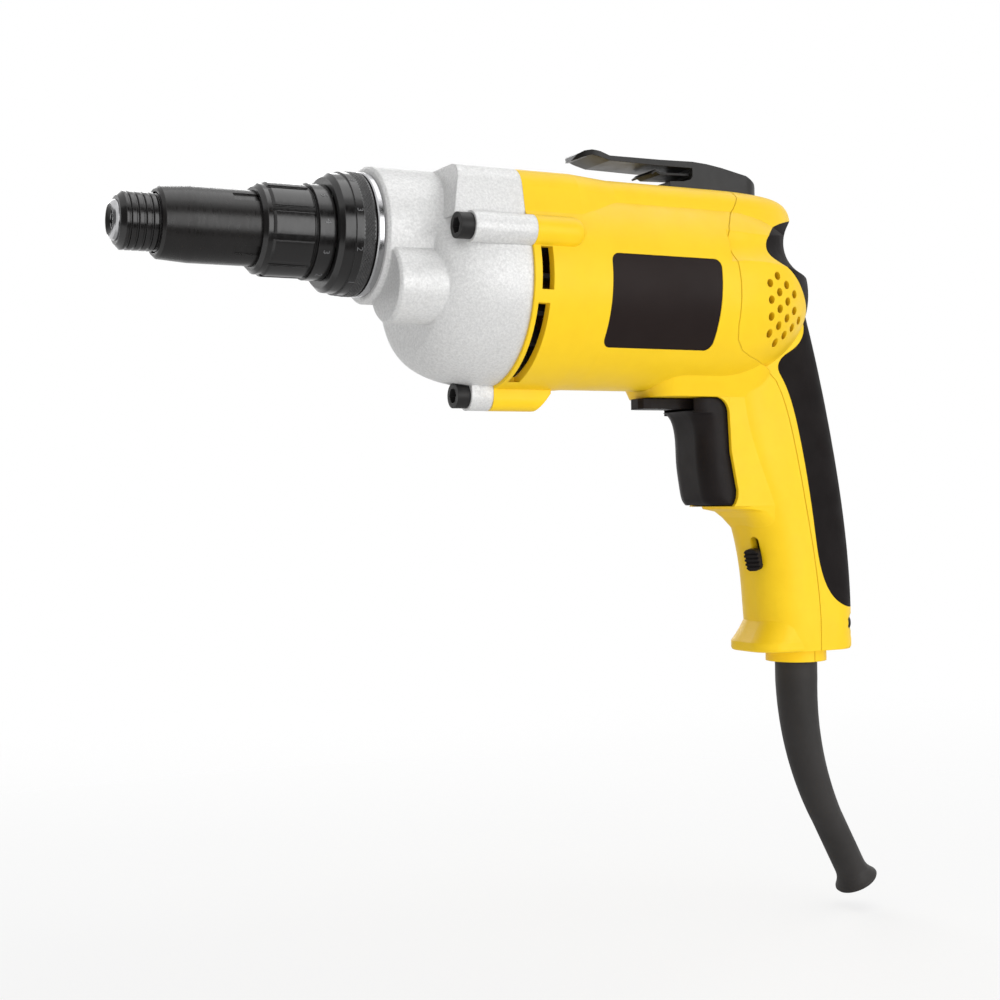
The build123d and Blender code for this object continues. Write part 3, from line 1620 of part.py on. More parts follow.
# Trigger: rounded front that slides back, cheeks beside the lever, and a plunger into the switch
with BuildPart() as trigger:
    for share, lead in trigger_profile:
        with BuildSketch(Plane.XY.offset(trigger_top + share * (trigger_low - trigger_top))) as level:
            with Locations((trigger_front + lead, 0)):
                Rectangle(
                    trigger_rear - trigger_front - lead, 2 * trigger_half, align=(Align.MIN, Align.CENTER)
                )
            fillet(level.vertices().sort_by(Axis.X)[0:2], trigger_round)
    loft()
    with BuildSketch(Plane.XY.offset(trigger_top - 1.0)) as cheeks:
        with Locations((trigger_front + cheek_lead, 0)):
            Rectangle(
                trigger_rear - trigger_front - cheek_lead, 2 * trigger_half, align=(Align.MIN, Align.CENTER)
            )
        fillet(cheeks.vertices().sort_by(Axis.X)[0:2], trigger_round)
        with Locations((lever_pivot_x, 0)):
            Rectangle(2 * (lever_pivot_x - trigger_front), 2 * cheek_half, mode=Mode.SUBTRACT)
    extrude(amount=under_z - free_gap - trigger_top + 1.0)
    with Locations(Plane.YZ.offset(trigger_rear - 11)):
        with Locations((0, switch_z)):
            Cylinder(trigger_spring_r + 1.2, 12, align=on_face, mode=Mode.SUBTRACT)
    with Locations(Plane.YZ.offset(trigger_rear - 12)):
        with Locations((0, switch_z)):
            Cylinder(plunger_r, switch_x + 6 - trigger_rear + 12, align=on_face)
trigger.part.label = "trigger"
export_step(trigger.part, "parts/trigger.step")
with BuildPart() as trigger_spring:
    add(
        coil_spring(
            across(trigger_rear - 10.9, 0, switch_z),
            trigger_spring_r,
            0.4,
            switch_x - trigger_rear + 10.7,
            6.0,
        )
    )
trigger_spring.part.label = "trigger_spring"
export_step(trigger_spring.part, "parts/trigger_spring.step")

# Switch body
with BuildPart() as switch_body:
    with Locations((switch_x + switch_len / 2, 0, switch_z)):
        Box(switch_len, 2 * switch_half, 24.0)
    with Locations(Plane.YZ.offset(switch_x - 1)):
        with Locations((0, switch_z)):
            Cylinder(
                plunger_r + running_gap, 16, align=on_face, mode=Mode.SUBTRACT
            )
    with Locations((switch_x + switch_len / 2, 0, switch_z - 12.0)):
        Box(12.0, 16.0, 4.0)
switch_body.part.label = "switch_body"
export_step(switch_body.part, "parts/switch_body.step")

# Reversing lever on its pin over the trigger
with BuildPart() as reversing_lever:
    with BuildSketch(Plane.XY.offset(under_z - free_gap)):
        with Locations((lever_pivot_x, 0)):
            Circle(lever_eye_r)
        with BuildLine():
            Polyline(
                (lever_pivot_x, lever_half),
                (lever_front + 4, lever_half + 1.0),
                (lever_front + 1.2, lever_half),
                (lever_front, lever_half - 2.0),
                (lever_front, 2.0 - lever_half),
                (lever_front + 1.2, -lever_half),
                (lever_front + 4, -lever_half - 1.0),
                (lever_pivot_x, -lever_half),
                close=True,
            )
        make_face()
        with Locations((lever_pivot_x, 0)):
            Circle(lever_pin_r + running_gap, mode=Mode.SUBTRACT)
    extrude(amount=-(lever_thick - free_gap))
reversing_lever.part.label = "reversing_lever"
export_step(reversing_lever.part, "parts/reversing_lever.step")

# Lock-on slider: a ribbed pad outside, a stem in the slot and a keeper inside
with BuildPart() as lock_slider:
    with BuildSketch(slider_plane.offset(slider_lift)):
        with Locations((-slider_travel / 2 - 1.0, 0)):
            RectangleRounded(slider_pad_len, slider_pad_width, 2.2)
    extrude(amount=slider_pad_thick)
    with BuildSketch(slider_plane.offset(slider_lift + 0.5)):
        with Locations((-slider_travel / 2, 0)):
            RectangleRounded(slider_stem_len, 2 * (slot_half - seat_gap), slot_half - seat_gap - 0.1)
    extrude(amount=-slider_lift - wall - 3.4)
    with BuildSketch(slider_plane.offset(-wall - 1.8)):
        with Locations((-slider_travel / 2, 0)):
            RectangleRounded(slider_stem_len + 1, 2 * slot_half + 0.9, 1.0)
    extrude(amount=-1.4)
    with BuildSketch(slider_plane.offset(slider_lift + slider_pad_thick)):
        with Locations((-slider_travel / 2 - 1.0, 0)):
            with GridLocations(1.6, 0, 4, 1):
                Rectangle(0.7, slider_pad_width + 1)
    extrude(amount=-0.7, mode=Mode.SUBTRACT)
lock_slider.part.label = "lock_slider"
export_step(lock_slider.part, "parts/lock_slider.step")

# Cord clamp with its screws
with BuildPart() as cord_clamp:
    with Locations((clamp_x + 2.5, 0, clamp_z)):
        Box(5.0, 20.0, 8.0)
    with Locations((clamp_x + 5.0, 0, clamp_z)):
        Cylinder(relief_bore_r, 10, mode=Mode.SUBTRACT)
    for side in (-1, 1):
        with Locations(Plane.YZ.offset(clamp_x + 2)):
            with Locations((side * clamp_screw_y, clamp_z)):
                Cylinder(clamp_screw_r + running_gap, 10, mode=Mode.SUBTRACT)
cord_clamp.part.label = "cord_clamp"
export_step(cord_clamp.part, "parts/cord_clamp.step")
with BuildPart() as cord_clamp_screws:
    for side in (-1, 1):
        face = Plane((clamp_x + 5.0, side * clamp_screw_y, clamp_z), x_dir=(0, 1, 0), z_dir=(-1, 0, 0))
        add(cap_screw(face, 7.0, 2.8, 2.0, clamp_screw_r, 2.0))
cord_clamp_screws.part.label = "cord_clamp_screws"
export_step(cord_clamp_screws.part, "parts/cord_clamp_screws.step")

# Strain relief: a tapering bent tube with a flared end, held by a flange in the base
bend_run = Edge.make_circle(
    relief_bend_r,
    Plane((relief_x + relief_bend_r, 0, relief_low), x_dir=(-1, 0, 0), z_dir=(0, -1, 0)),
    0,
    relief_bend,
)
bend_start = Plane((relief_x, 0, relief_low), x_dir=(0, 1, 0), z_dir=(0, 0, -1))
bend_middle = Plane(bend_run @ 0.5, x_dir=(0, 1, 0), z_dir=bend_run % 0.5)
bend_end = Plane(bend_run @ 1, x_dir=(0, 1, 0), z_dir=bend_run % 1)
with BuildPart() as relief_bore:
    with BuildSketch(bend_start.offset(relief_low - base_z - wall - relief_flange - 1)):
        Circle(relief_bore_r)
    extrude(amount=base_z + wall + relief_flange + 1 - relief_low)
    with BuildSketch(bend_start):
        Circle(relief_bore_r)
    sweep(path=bend_run)
    with BuildSketch(bend_end):
        Circle(relief_bore_r)
    extrude(amount=relief_end_len + 1)
with BuildPart() as strain_relief:
    with BuildSketch(bend_start):
        Circle(relief_top_r)
    with BuildSketch(bend_middle):
        Circle(relief_mid_r)
    with BuildSketch(bend_end):
        Circle(relief_end_r)
    loft()
    with BuildSketch(bend_start):
        Circle(relief_top_r)
    extrude(amount=relief_low - base_z - wall - seat_gap - relief_flange)
    with BuildSketch(bend_start.offset(relief_low - base_z - wall - seat_gap)):
        Circle(relief_top_r + 2.0)
    extrude(amount=-relief_flange)
    with BuildSketch(bend_end):
        Circle(relief_end_r)
    extrude(amount=relief_end_len)
    revolve(
        half_section(
            Plane(bend_end.origin, x_dir=bend_end.z_dir, z_dir=(0, -1, 0)),
            (relief_end_len - relief_flare_len, 0),
            (relief_end_len - relief_flare_len, relief_end_r - 0.05),
            (relief_end_len - 0.72 * relief_flare_len, relief_end_r + 0.15),
            (relief_end_len - 0.5 * relief_flare_len, relief_end_r + 0.7),
            (relief_end_len - 0.3 * relief_flare_len, relief_end_r + 1.6),
            (relief_end_len - 1.2, relief_flare_r - 0.15),
            (relief_end_len - 0.7, relief_flare_r),
            (relief_end_len - 0.2, relief_flare_r - 0.3),
            (relief_end_len, relief_flare_r - 0.9),
            (relief_end_len, 0),
        ),
        axis=Axis(bend_end.origin, bend_end.z_dir),
    )
    add(relief_bore.part, mode=Mode.SUBTRACT)
strain_relief.part.label = "strain_relief"
export_step(strain_relief.part, "parts/strain_relief.step")

# Belt hook with its leaf spring and screw
with BuildPart() as belt_hook:
    extrude(
        half_section(
            Plane.XZ,
            (hook_tip, hook_top - 3.4),
            (hook_tip + 0.8, hook_top - 1.4),
            (hook_tip + 2.6, hook_top - 0.3),
            (hook_tip + 5.0, hook_top),
            (hook_tip + 8.0, hook_top - 0.5),
            (hook_tip + 12.0, hook_top - 1.8),
            (hook_rear - 46.4, hook_top - 1.6),
            (hook_rear - 32.4, hook_top - 1.2),
            (hook_rear - 26.0, hook_top - 1.6),
            (hook_rear - 19.4, hook_top - 2.5),
            (hook_rear - 8.0, hook_top - 4.7),
            (hook_rear - 3.0, hook_top - 7.0),
            (hook_rear - 0.6, hook_top - 9.6),
            (hook_rear, ridge_top),
            (hook_rear - 42.4, ridge_top),
            (hook_rear - 42.4, ridge_top + 3.6),
            (hook_rear - 36.4, ridge_top + 4.0),
            (hook_rear - 33.4, ridge_top + 4.8),
            (hook_rear - 32.4, ridge_top + 6.2),
            (hook_rear - 32.4, hook_top - 3.6),
            (hook_rear - 46.4, hook_top - 3.8),
            (hook_tip + 12.0, hook_top - 3.6),
            (hook_tip + 5.0, hook_top - 1.9),
            (hook_tip + 2.2, hook_top - 2.6),
        ),
        amount=hook_half,
        both=True,
    )
    with BuildSketch(Plane.XY.offset(ridge_top - 1)):
        with Locations(((hook_tip + hook_rear) / 2, 0)):
            RectangleRounded(hook_rear - hook_tip, 2 * hook_half, hook_half - 0.6)
    extrude(amount=20, mode=Mode.INTERSECT)
    with BuildSketch(Plane.XY.offset(hook_seat_z)):
        with Locations((hook_screw_x, 0)):
            Circle(4.6)
    extrude(amount=20, mode=Mode.SUBTRACT)
    with Locations((hook_screw_x, 0, ridge_top)):
        Cylinder(hook_screw_r + running_gap, 30, mode=Mode.SUBTRACT)
belt_hook.part.label = "belt_hook"
export_step(belt_hook.part, "parts/belt_hook.step")
with BuildPart() as hook_leaf:
    extrude(
        half_section(
            Plane.XZ,
            (hook_rear - 49.4, leaf_z - 0.2),
            (hook_rear - 47.4, leaf_z + 1.4),
            (hook_rear - 45.4, leaf_z + 0.4),
            (hook_rear - 32.6, leaf_z + 0.9),
            (hook_rear - 32.6, leaf_z),
            (hook_rear - 45.4, leaf_z - 0.5),
            (hook_rear - 47.4, leaf_z + 0.5),
            (hook_rear - 48.8, leaf_z - 0.6),
        ),
        amount=hook_half - 2.0,
        both=True,
    )
hook_leaf.part.label = "hook_leaf"
export_step(hook_leaf.part, "parts/hook_leaf.step")
with BuildPart() as hook_screw:
    face = Plane((hook_screw_x, 0, hook_seat_z), x_dir=(1, 0, 0), z_dir=(0, 0, -1))
    add(cap_screw(face, 12.0, 4.2, 2.6, hook_screw_r, 3.0))
hook_screw.part.label = "hook_screw"
export_step(hook_screw.part, "parts/hook_screw.step")
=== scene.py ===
import json
from math import cos, pi, radians, sin

import bmesh
import bpy
from mathutils import Matrix, Vector


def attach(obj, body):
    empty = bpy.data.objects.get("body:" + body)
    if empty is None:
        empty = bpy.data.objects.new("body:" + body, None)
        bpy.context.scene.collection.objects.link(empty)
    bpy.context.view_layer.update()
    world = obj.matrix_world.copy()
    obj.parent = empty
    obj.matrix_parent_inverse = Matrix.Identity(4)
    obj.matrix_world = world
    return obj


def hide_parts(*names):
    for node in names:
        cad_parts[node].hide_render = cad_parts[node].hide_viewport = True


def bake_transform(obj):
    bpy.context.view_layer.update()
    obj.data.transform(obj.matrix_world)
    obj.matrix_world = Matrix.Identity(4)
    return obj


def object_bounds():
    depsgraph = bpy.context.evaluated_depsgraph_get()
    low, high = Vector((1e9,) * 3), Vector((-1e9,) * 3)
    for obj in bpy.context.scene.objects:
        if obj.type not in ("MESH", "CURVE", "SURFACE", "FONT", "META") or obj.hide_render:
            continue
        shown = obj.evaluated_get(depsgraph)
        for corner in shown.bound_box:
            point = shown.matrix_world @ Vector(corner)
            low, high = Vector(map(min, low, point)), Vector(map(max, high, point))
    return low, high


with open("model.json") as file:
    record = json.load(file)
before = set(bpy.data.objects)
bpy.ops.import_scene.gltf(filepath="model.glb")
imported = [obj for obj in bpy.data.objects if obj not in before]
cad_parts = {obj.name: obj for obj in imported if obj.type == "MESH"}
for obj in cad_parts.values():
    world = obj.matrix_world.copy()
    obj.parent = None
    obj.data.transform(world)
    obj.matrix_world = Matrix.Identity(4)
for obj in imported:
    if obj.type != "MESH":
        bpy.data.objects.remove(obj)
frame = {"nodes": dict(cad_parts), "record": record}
cad_low, cad_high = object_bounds()
nodes = frame["nodes"]
scene = bpy.context.scene
MM = 0.001

# Sizes that the added pieces share with the solids, in millimetres
LOCK_RING_FACE = 76.5
LOCK_RING_REAR = 83.4
LOCK_RING_R = 20.8
COLLAR_REAR = 71.0
COLLAR_BAND_R = 16.2
COLLAR_BAND = 5.6
SOCKET_MOUTH = ((-0.03, 5.1), (-0.03, 4.64), (1.18, 3.36))
GUARD_CORNER = (227.2, -54.0)

# Sizes of the added pieces themselves, in millimetres
KNURL_FROM_FACE = 2.6
KNURL_FROM_REAR = 0.2
KNURL_DEPTH = 0.32
KNURL_FOOT = 0.01
KNURL_TEETH = 96
KNURL_ROWS = 4
NUMERAL_HEIGHT = 0.1
NUMERAL_FOOT = 0.02
NUMERAL_CURVE_STEPS = 3
NUMERAL_WELD = 0.0005
RING_NUMERAL_SIZE = 3.0
RING_NUMERAL_FROM_FACE = 1.3
COLLAR_NUMERAL_SIZE = 3.2
NUMERAL_COUNT = 10
NUMERAL_STEP = 360 / NUMERAL_COUNT
RING_NUMERAL_FIRST = 14 - 2 * NUMERAL_STEP
COLLAR_NUMERAL_FIRST = 4 - 3 * NUMERAL_STEP
WEB_REACH = 6.0
WEB_INNER = 13.6
WEB_OUTER = 14.98
WEB_LAP = 0.4

# Floor and backdrop, in metres and shares of white
FLOOR_DROP = 0.006
FLOOR_R = 0.9
FLOOR_SEGMENTS = 96
FLOOR_ROUGHNESS = 0.9
FLOOR_X = 0.15
FLOOR_FADE = (0.12, 0.95 * FLOOR_R)
FLOOR_COLOUR = (0.93, 0.93, 0.93, 1)
FLOOR_GLOW = 0.72
WORLD_FILL = 0.34

# Lamps and the cards that polished surfaces show, in metres, with angles in degrees
LAMP_AIM = (0.12, 0.0, -0.03)
STRIP_R = 0.8
STRIP_LENGTH = 1.3
STRIP_ANGLES = (29, 47)
CARD_LIFT = 0.002
FLOOR_CARD_X = (-0.15, 1.0)
FLOOR_CARD_NEAR = -1.0
FLOOR_CARD_JOINT = -0.34
FLOOR_CARD_FAR = 0.45
LEFT_CARD_X = -0.9
LEFT_CARD_Y = (-0.9, 0.9)
LEFT_CARD_Z = (-0.25, 0.6)

# The photograph's camera, in metres, millimetres of lens and degrees
CAMERA_PLACE = (-0.12824, -0.51960, -0.09116)
CAMERA_LENS = 58.97
CAMERA_SENSOR = 36.0
CAMERA_AZIMUTH = 27.14
CAMERA_ROLL = -0.91


# Materials: each is a small node tree on the object's own coordinates
class Surface:
    """A procedural material with its node tree and the principled shader at its end."""

    MOTTLE_SPAN = (0.35, 0.7)
    UNEVEN_SPAN = (0.3, 0.7)
    WEAR_SPAN = (0.4, 0.6)
    WEAR_PER_METRE = 900
    WEAR_LEAST = 0.2
    BEVEL_SAMPLES = 6

    def __init__(self, name, colour, roughness, metallic=0.0):
        self.material = bpy.data.materials.new(name)
        self.material.use_nodes = True
        self.tree = self.material.node_tree
        self.shader = self.tree.nodes["Principled BSDF"]
        self.colour = (*colour, 1.0)
        self.shader.inputs["Base Color"].default_value = self.colour
        self.shader.inputs["Roughness"].default_value = roughness
        self.shader.inputs["Metallic"].default_value = metallic
        self.coords = self.tree.nodes.new("ShaderNodeTexCoord")
        self.normal = None
        self.colour_from = None

    def node(self, kind, **settings):
        made = self.tree.nodes.new(kind)
        for key, value in settings.items():
            if hasattr(made, key):
                setattr(made, key, value)
            else:
                made.inputs[key.replace("_", " ")].default_value = value
        return made

    def link(self, source, target):
        self.tree.links.new(source, target)

    def noise(self, per_metre, detail=3.0, rough=0.55, stretch=None):
        made = self.node("ShaderNodeTexNoise", Scale=per_metre, Detail=detail, Roughness=rough)
        source = self.coords.outputs["Object"]
        if stretch:
            mapping = self.node("ShaderNodeMapping")
            mapping.inputs["Scale"].default_value = stretch
            self.link(source, mapping.inputs["Vector"])
            source = mapping.outputs["Vector"]
        self.link(source, made.inputs["Vector"])
        return made.outputs["Fac"]

    def ranged(self, source, low, high, to_low, to_high):
        made = self.node("ShaderNodeMapRange")
        made.inputs["From Min"].default_value = low
        made.inputs["From Max"].default_value = high
        made.inputs["To Min"].default_value = to_low
        made.inputs["To Max"].default_value = to_high
        self.link(source, made.inputs["Value"])
        return made.outputs["Result"]

    def tint(self, factor, colour):
        """The base colour turns to colour where factor is 1."""
        made = self.node("ShaderNodeMix", data_type="RGBA")
        self.link(factor, made.inputs[0])
        if self.colour_from is None:
            made.inputs[6].default_value = self.colour
        else:
            self.link(self.colour_from, made.inputs[6])
        made.inputs[7].default_value = (*colour, 1.0)
        self.colour_from = made.outputs[2]
        self.link(self.colour_from, self.shader.inputs["Base Color"])
        return self

    def mottle(self, per_metre, colour, amount=0.5, stretch=None):
        spread = self.ranged(self.noise(per_metre, stretch=stretch), *self.MOTTLE_SPAN, 0.0, amount)
        return self.tint(spread, colour)

    def uneven(self, per_metre, low, high, stretch=None):
        spread = self.ranged(self.noise(per_metre, stretch=stretch), *self.UNEVEN_SPAN, low, high)
        self.link(spread, self.shader.inputs["Roughness"])
        return self

    def soft_edges(self, radius_mm):
        made = self.node("ShaderNodeBevel", samples=self.BEVEL_SAMPLES)
        made.inputs["Radius"].default_value = radius_mm * MM
        self.round = made
        if self.normal is not None:
            self.link(self.normal, made.inputs["Normal"])
        self.normal = made.outputs["Normal"]
        self.link(self.normal, self.shader.inputs["Normal"])
        return self

    def bump(self, height, distance_mm, strength=1.0):
        made = self.node("ShaderNodeBump")
        made.inputs["Strength"].default_value = strength
        made.inputs["Distance"].default_value = distance_mm * MM
        self.link(height, made.inputs["Height"])
        if self.normal is not None:
            self.link(self.normal, made.inputs["Normal"])
        self.normal = made.outputs["Normal"]
        self.link(self.normal, self.shader.inputs["Normal"])
        return self

    def grain(self, per_metre, distance_mm, strength=1.0, stretch=None):
        return self.bump(self.noise(per_metre, detail=2.0, stretch=stretch), distance_mm, strength)

    def worn_edges(self, colour, low=0.02, high=0.25, amount=0.7):
        """Edges, where the rounded normal leaves the true one, take another colour in patches."""
        geometry = self.node("ShaderNodeNewGeometry")
        dot = self.node("ShaderNodeVectorMath", operation="DOT_PRODUCT")
        self.link(self.round.outputs["Normal"], dot.inputs[0])
        self.link(geometry.outputs["Normal"], dot.inputs[1])
        edge = self.ranged(dot.outputs["Value"], 1.0 - low, 1.0 - high, 0.0, amount)
        patch = self.ranged(self.noise(self.WEAR_PER_METRE), *self.WEAR_SPAN, self.WEAR_LEAST, 1.0)
        both = self.node("ShaderNodeMath", operation="MULTIPLY")
        self.link(edge, both.inputs[0])
        self.link(patch, both.inputs[1])
        return self.tint(both.outputs["Value"], colour)

    def set(self, **values):
        for key, value in values.items():
            self.shader.inputs[key.replace("_", " ")].default_value = value
        return self


yellow = (
    Surface("yellow_moulding", (0.92, 0.60, 0.010), 0.45)
    .mottle(22, (0.96, 0.64, 0.015), 0.7)
    .mottle(160, (0.87, 0.55, 0.008), 0.35)
    .uneven(90, 0.40, 0.52)
    .soft_edges(0.5)
    .grain(2600, 0.02, 0.5)
    .set(Specular_IOR_Level=0.3)
)
rubber = (
    Surface("soft_rubber", (0.0085, 0.0068, 0.0068), 0.62)
    .mottle(60, (0.013, 0.0105, 0.0105), 0.8)
    .uneven(140, 0.55, 0.7)
    .soft_edges(0.5)
    .grain(2200, 0.04, 0.6)
    .set(Specular_IOR_Level=0.08)
)
relief_rubber = (
    Surface("relief_rubber", (0.024, 0.022, 0.021), 0.55)
    .mottle(60, (0.034, 0.031, 0.03), 0.7)
    .uneven(140, 0.48, 0.62)
    .soft_edges(0.6)
    .grain(1800, 0.03, 0.5)
    .set(Specular_IOR_Level=0.3)
)
black_moulding = (
    Surface("black_moulding", (0.010, 0.0078, 0.0078), 0.44)
    .mottle(70, (0.015, 0.0118, 0.0118), 0.7)
    .uneven(120, 0.38, 0.5)
    .soft_edges(0.5)
    .grain(2400, 0.025, 0.5)
    .set(Specular_IOR_Level=0.13)
)
badge = (
    Surface("bare_plate", (0.016, 0.0108, 0.0102), 0.46)
    .mottle(45, (0.02, 0.0138, 0.013), 0.6)
    .uneven(70, 0.42, 0.52)
    .soft_edges(0.3)
    .grain(3200, 0.01, 0.4)
    .set(Specular_IOR_Level=0.1)
)
casting = (
    Surface("sand_cast_aluminium", (0.70, 0.70, 0.695), 0.5, 0.22)
    .mottle(1900, (0.82, 0.82, 0.815), 0.8)
    .mottle(1100, (0.55, 0.55, 0.547), 0.6)
    .uneven(1100, 0.40, 0.6)
    .soft_edges(0.9)
    .grain(1900, 0.15, 0.6)
    .grain(420, 0.08, 0.25)
)
polished = (
    Surface("polished_steel", (0.52, 0.52, 0.53), 0.2, 1.0)
    .mottle(240, (0.42, 0.42, 0.43), 0.4, (1, 6, 6))
    .uneven(900, 0.14, 0.27, (8, 0.4, 0.4))
    .soft_edges(0.3)
    .grain(1800, 0.01, 0.3, (8, 0.3, 0.3))
)
coated = (
    Surface("black_coated_metal", (0.005, 0.0045, 0.0045), 0.2)
    .mottle(120, (0.008, 0.0072, 0.0072), 0.6)
    .uneven(260, 0.16, 0.27, (4, 1, 1))
    .soft_edges(0.35)
    .worn_edges((0.07, 0.067, 0.065), 0.03, 0.35, 0.35)
    .grain(2600, 0.006, 0.35)
    .set(Specular_IOR_Level=0.6)
)
satin_black = (
    Surface("satin_black_metal", (0.007, 0.0062, 0.006), 0.3)
    .mottle(120, (0.011, 0.0098, 0.0095), 0.6)
    .uneven(260, 0.25, 0.36, (4, 1, 1))
    .soft_edges(0.35)
    .worn_edges((0.07, 0.067, 0.065), 0.03, 0.35, 0.3)
    .grain(2600, 0.008, 0.35)
    .set(Specular_IOR_Level=0.42)
)
black_steel = (
    Surface("black_steel", (0.017, 0.0165, 0.0165), 0.44, 0.12)
    .mottle(150, (0.028, 0.027, 0.027), 0.7)
    .uneven(240, 0.38, 0.52)
    .soft_edges(0.35)
    .worn_edges((0.16, 0.155, 0.15), 0.02, 0.3, 0.5)
    .grain(2000, 0.02, 0.4)
    .set(Specular_IOR_Level=0.22)
)
hook_steel = (
    Surface("smooth_black_steel", (0.010, 0.0096, 0.0096), 0.36)
    .mottle(150, (0.017, 0.0163, 0.0163), 0.7)
    .uneven(240, 0.32, 0.40)
    .soft_edges(0.35)
    .worn_edges((0.16, 0.155, 0.15), 0.02, 0.3, 0.5)
    .grain(2000, 0.01, 0.4)
    .set(Specular_IOR_Level=0.28)
)
plain_steel = (
    Surface("ground_steel", (0.5, 0.5, 0.51), 0.34, 1.0)
    .mottle(300, (0.4, 0.4, 0.41), 0.5, (6, 1, 1))
    .uneven(700, 0.26, 0.42, (9, 1, 1))
    .soft_edges(0.15)
    .grain(2400, 0.01, 0.4, (9, 1, 1))
)
spring_steel = (
    Surface("spring_wire", (0.36, 0.36, 0.38), 0.32, 1.0)
    .mottle(500, (0.28, 0.28, 0.3), 0.5)
    .uneven(900, 0.25, 0.4)
    .grain(3200, 0.008, 0.4)
)
bronze = (
    Surface("sintered_bronze", (0.46, 0.31, 0.16), 0.45, 1.0)
    .mottle(900, (0.34, 0.22, 0.11), 0.7)
    .uneven(900, 0.38, 0.55)
    .grain(2600, 0.02, 0.5)
)
brass_sheet = (
    Surface("brass_sheet", (0.66, 0.47, 0.18), 0.33, 1.0)
    .mottle(260, (0.55, 0.37, 0.14), 0.5)
    .uneven(500, 0.26, 0.42, (6, 1, 1))
    .soft_edges(0.2)
    .grain(2200, 0.01, 0.3)
)
lamination = (
    Surface("stacked_lamination", (0.24, 0.24, 0.25), 0.45, 1.0)
    .mottle(800, (0.17, 0.165, 0.16), 0.6, (6, 0.4, 0.4))
    .uneven(700, 0.38, 0.55)
    .grain(2000, 0.06, 0.6, (3, 0.02, 0.02))
)
copper = (
    Surface("enamelled_copper", (0.52, 0.2, 0.07), 0.32, 0.8)
    .mottle(900, (0.4, 0.14, 0.05), 0.6, (1, 6, 6))
    .uneven(600, 0.24, 0.4)
    .grain(1600, 0.12, 0.7, (0.1, 1, 1))
)
carbon = (
    Surface("pressed_carbon", (0.03, 0.03, 0.032), 0.6)
    .mottle(900, (0.05, 0.05, 0.052), 0.7)
    .uneven(700, 0.5, 0.7)
    .grain(2600, 0.03, 0.5)
)
inner_plastic = (
    Surface("inner_moulding", (0.045, 0.045, 0.048), 0.5)
    .mottle(150, (0.06, 0.06, 0.064), 0.6)
    .uneven(260, 0.42, 0.58)
    .soft_edges(0.2)
    .grain(2400, 0.02, 0.4)
)

by_slot = {
    "yellow_plastic": yellow,
    "black_rubber": rubber,
    "badge_black": badge,
    "cast_aluminium": casting,
    "black_steel": black_steel,
    "polished_steel": polished,
    "black_metal": coated,
    "plain_steel": plain_steel,
    "spring_steel": spring_steel,
    "bronze": bronze,
    "brass_sheet": brass_sheet,
    "lamination_steel": lamination,
    "copper_wire": copper,
    "carbon": carbon,
    "inner_plastic": inner_plastic,
    "black_plastic": black_moulding,
}
by_node = {"strain_relief": relief_rubber, "torque_sleeve": satin_black, "belt_hook": hook_steel}
for entry in frame["record"]["subparts"]:
    node = nodes[entry["node"]]
    look = by_node.get(entry["node"]) or by_slot[entry["material_slot"]]
    node.data.materials.clear()
    node.data.materials.append(look.material)


# Mesh helpers for the added pieces
def finished_mesh(made, name):
    """The mesh of a bmesh, with its faces turned outwards."""
    bmesh.ops.recalc_face_normals(made, faces=made.faces)
    mesh = bpy.data.meshes.new(name)
    made.to_mesh(mesh)
    made.free()
    return mesh


def add_piece(name, mesh, body, surface, smooth=True):
    piece = bpy.data.objects.new(name, mesh)
    scene.collection.objects.link(piece)
    mesh.materials.clear()
    mesh.materials.append(surface.material)
    if smooth:
        mesh.shade_smooth()
    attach(piece, body)
    return piece


def wrapped(x_mm, angle, radius_mm):
    """A point on a ring round the spindle: angle 0 is the tool's left, a quarter turn is up."""
    return Vector((x_mm, -radius_mm * cos(angle), radius_mm * sin(angle))) * MM


def knurled_band(name, x0, x1, radius, depth, teeth, rows):
    """A band of raised diamonds on a grid that runs round the ring."""
    steps, bands = teeth * 2, rows * 2
    made = bmesh.new()
    rings = []
    for row in range(bands + 1):
        x = x0 + (x1 - x0) * row / bands
        ring = []
        for step in range(steps):
            peak = (row + step) % 2 == 0 and 0 < row < bands
            lift = depth if peak else KNURL_FOOT
            ring.append(made.verts.new(wrapped(x, 2 * pi * step / steps, radius + lift)))
        rings.append(ring)
    for row, (low, high) in enumerate(zip(rings, rings[1:])):
        for step in range(steps):
            nxt = (step + 1) % steps
            quad = (low[step], low[nxt], high[nxt], high[step])
            if (row + step) % 2 == 0:
                made.faces.new((quad[0], quad[1], quad[3]))
                made.faces.new((quad[1], quad[2], quad[3]))
            else:
                made.faces.new((quad[0], quad[1], quad[2]))
                made.faces.new((quad[0], quad[2], quad[3]))
    return finished_mesh(made, name)


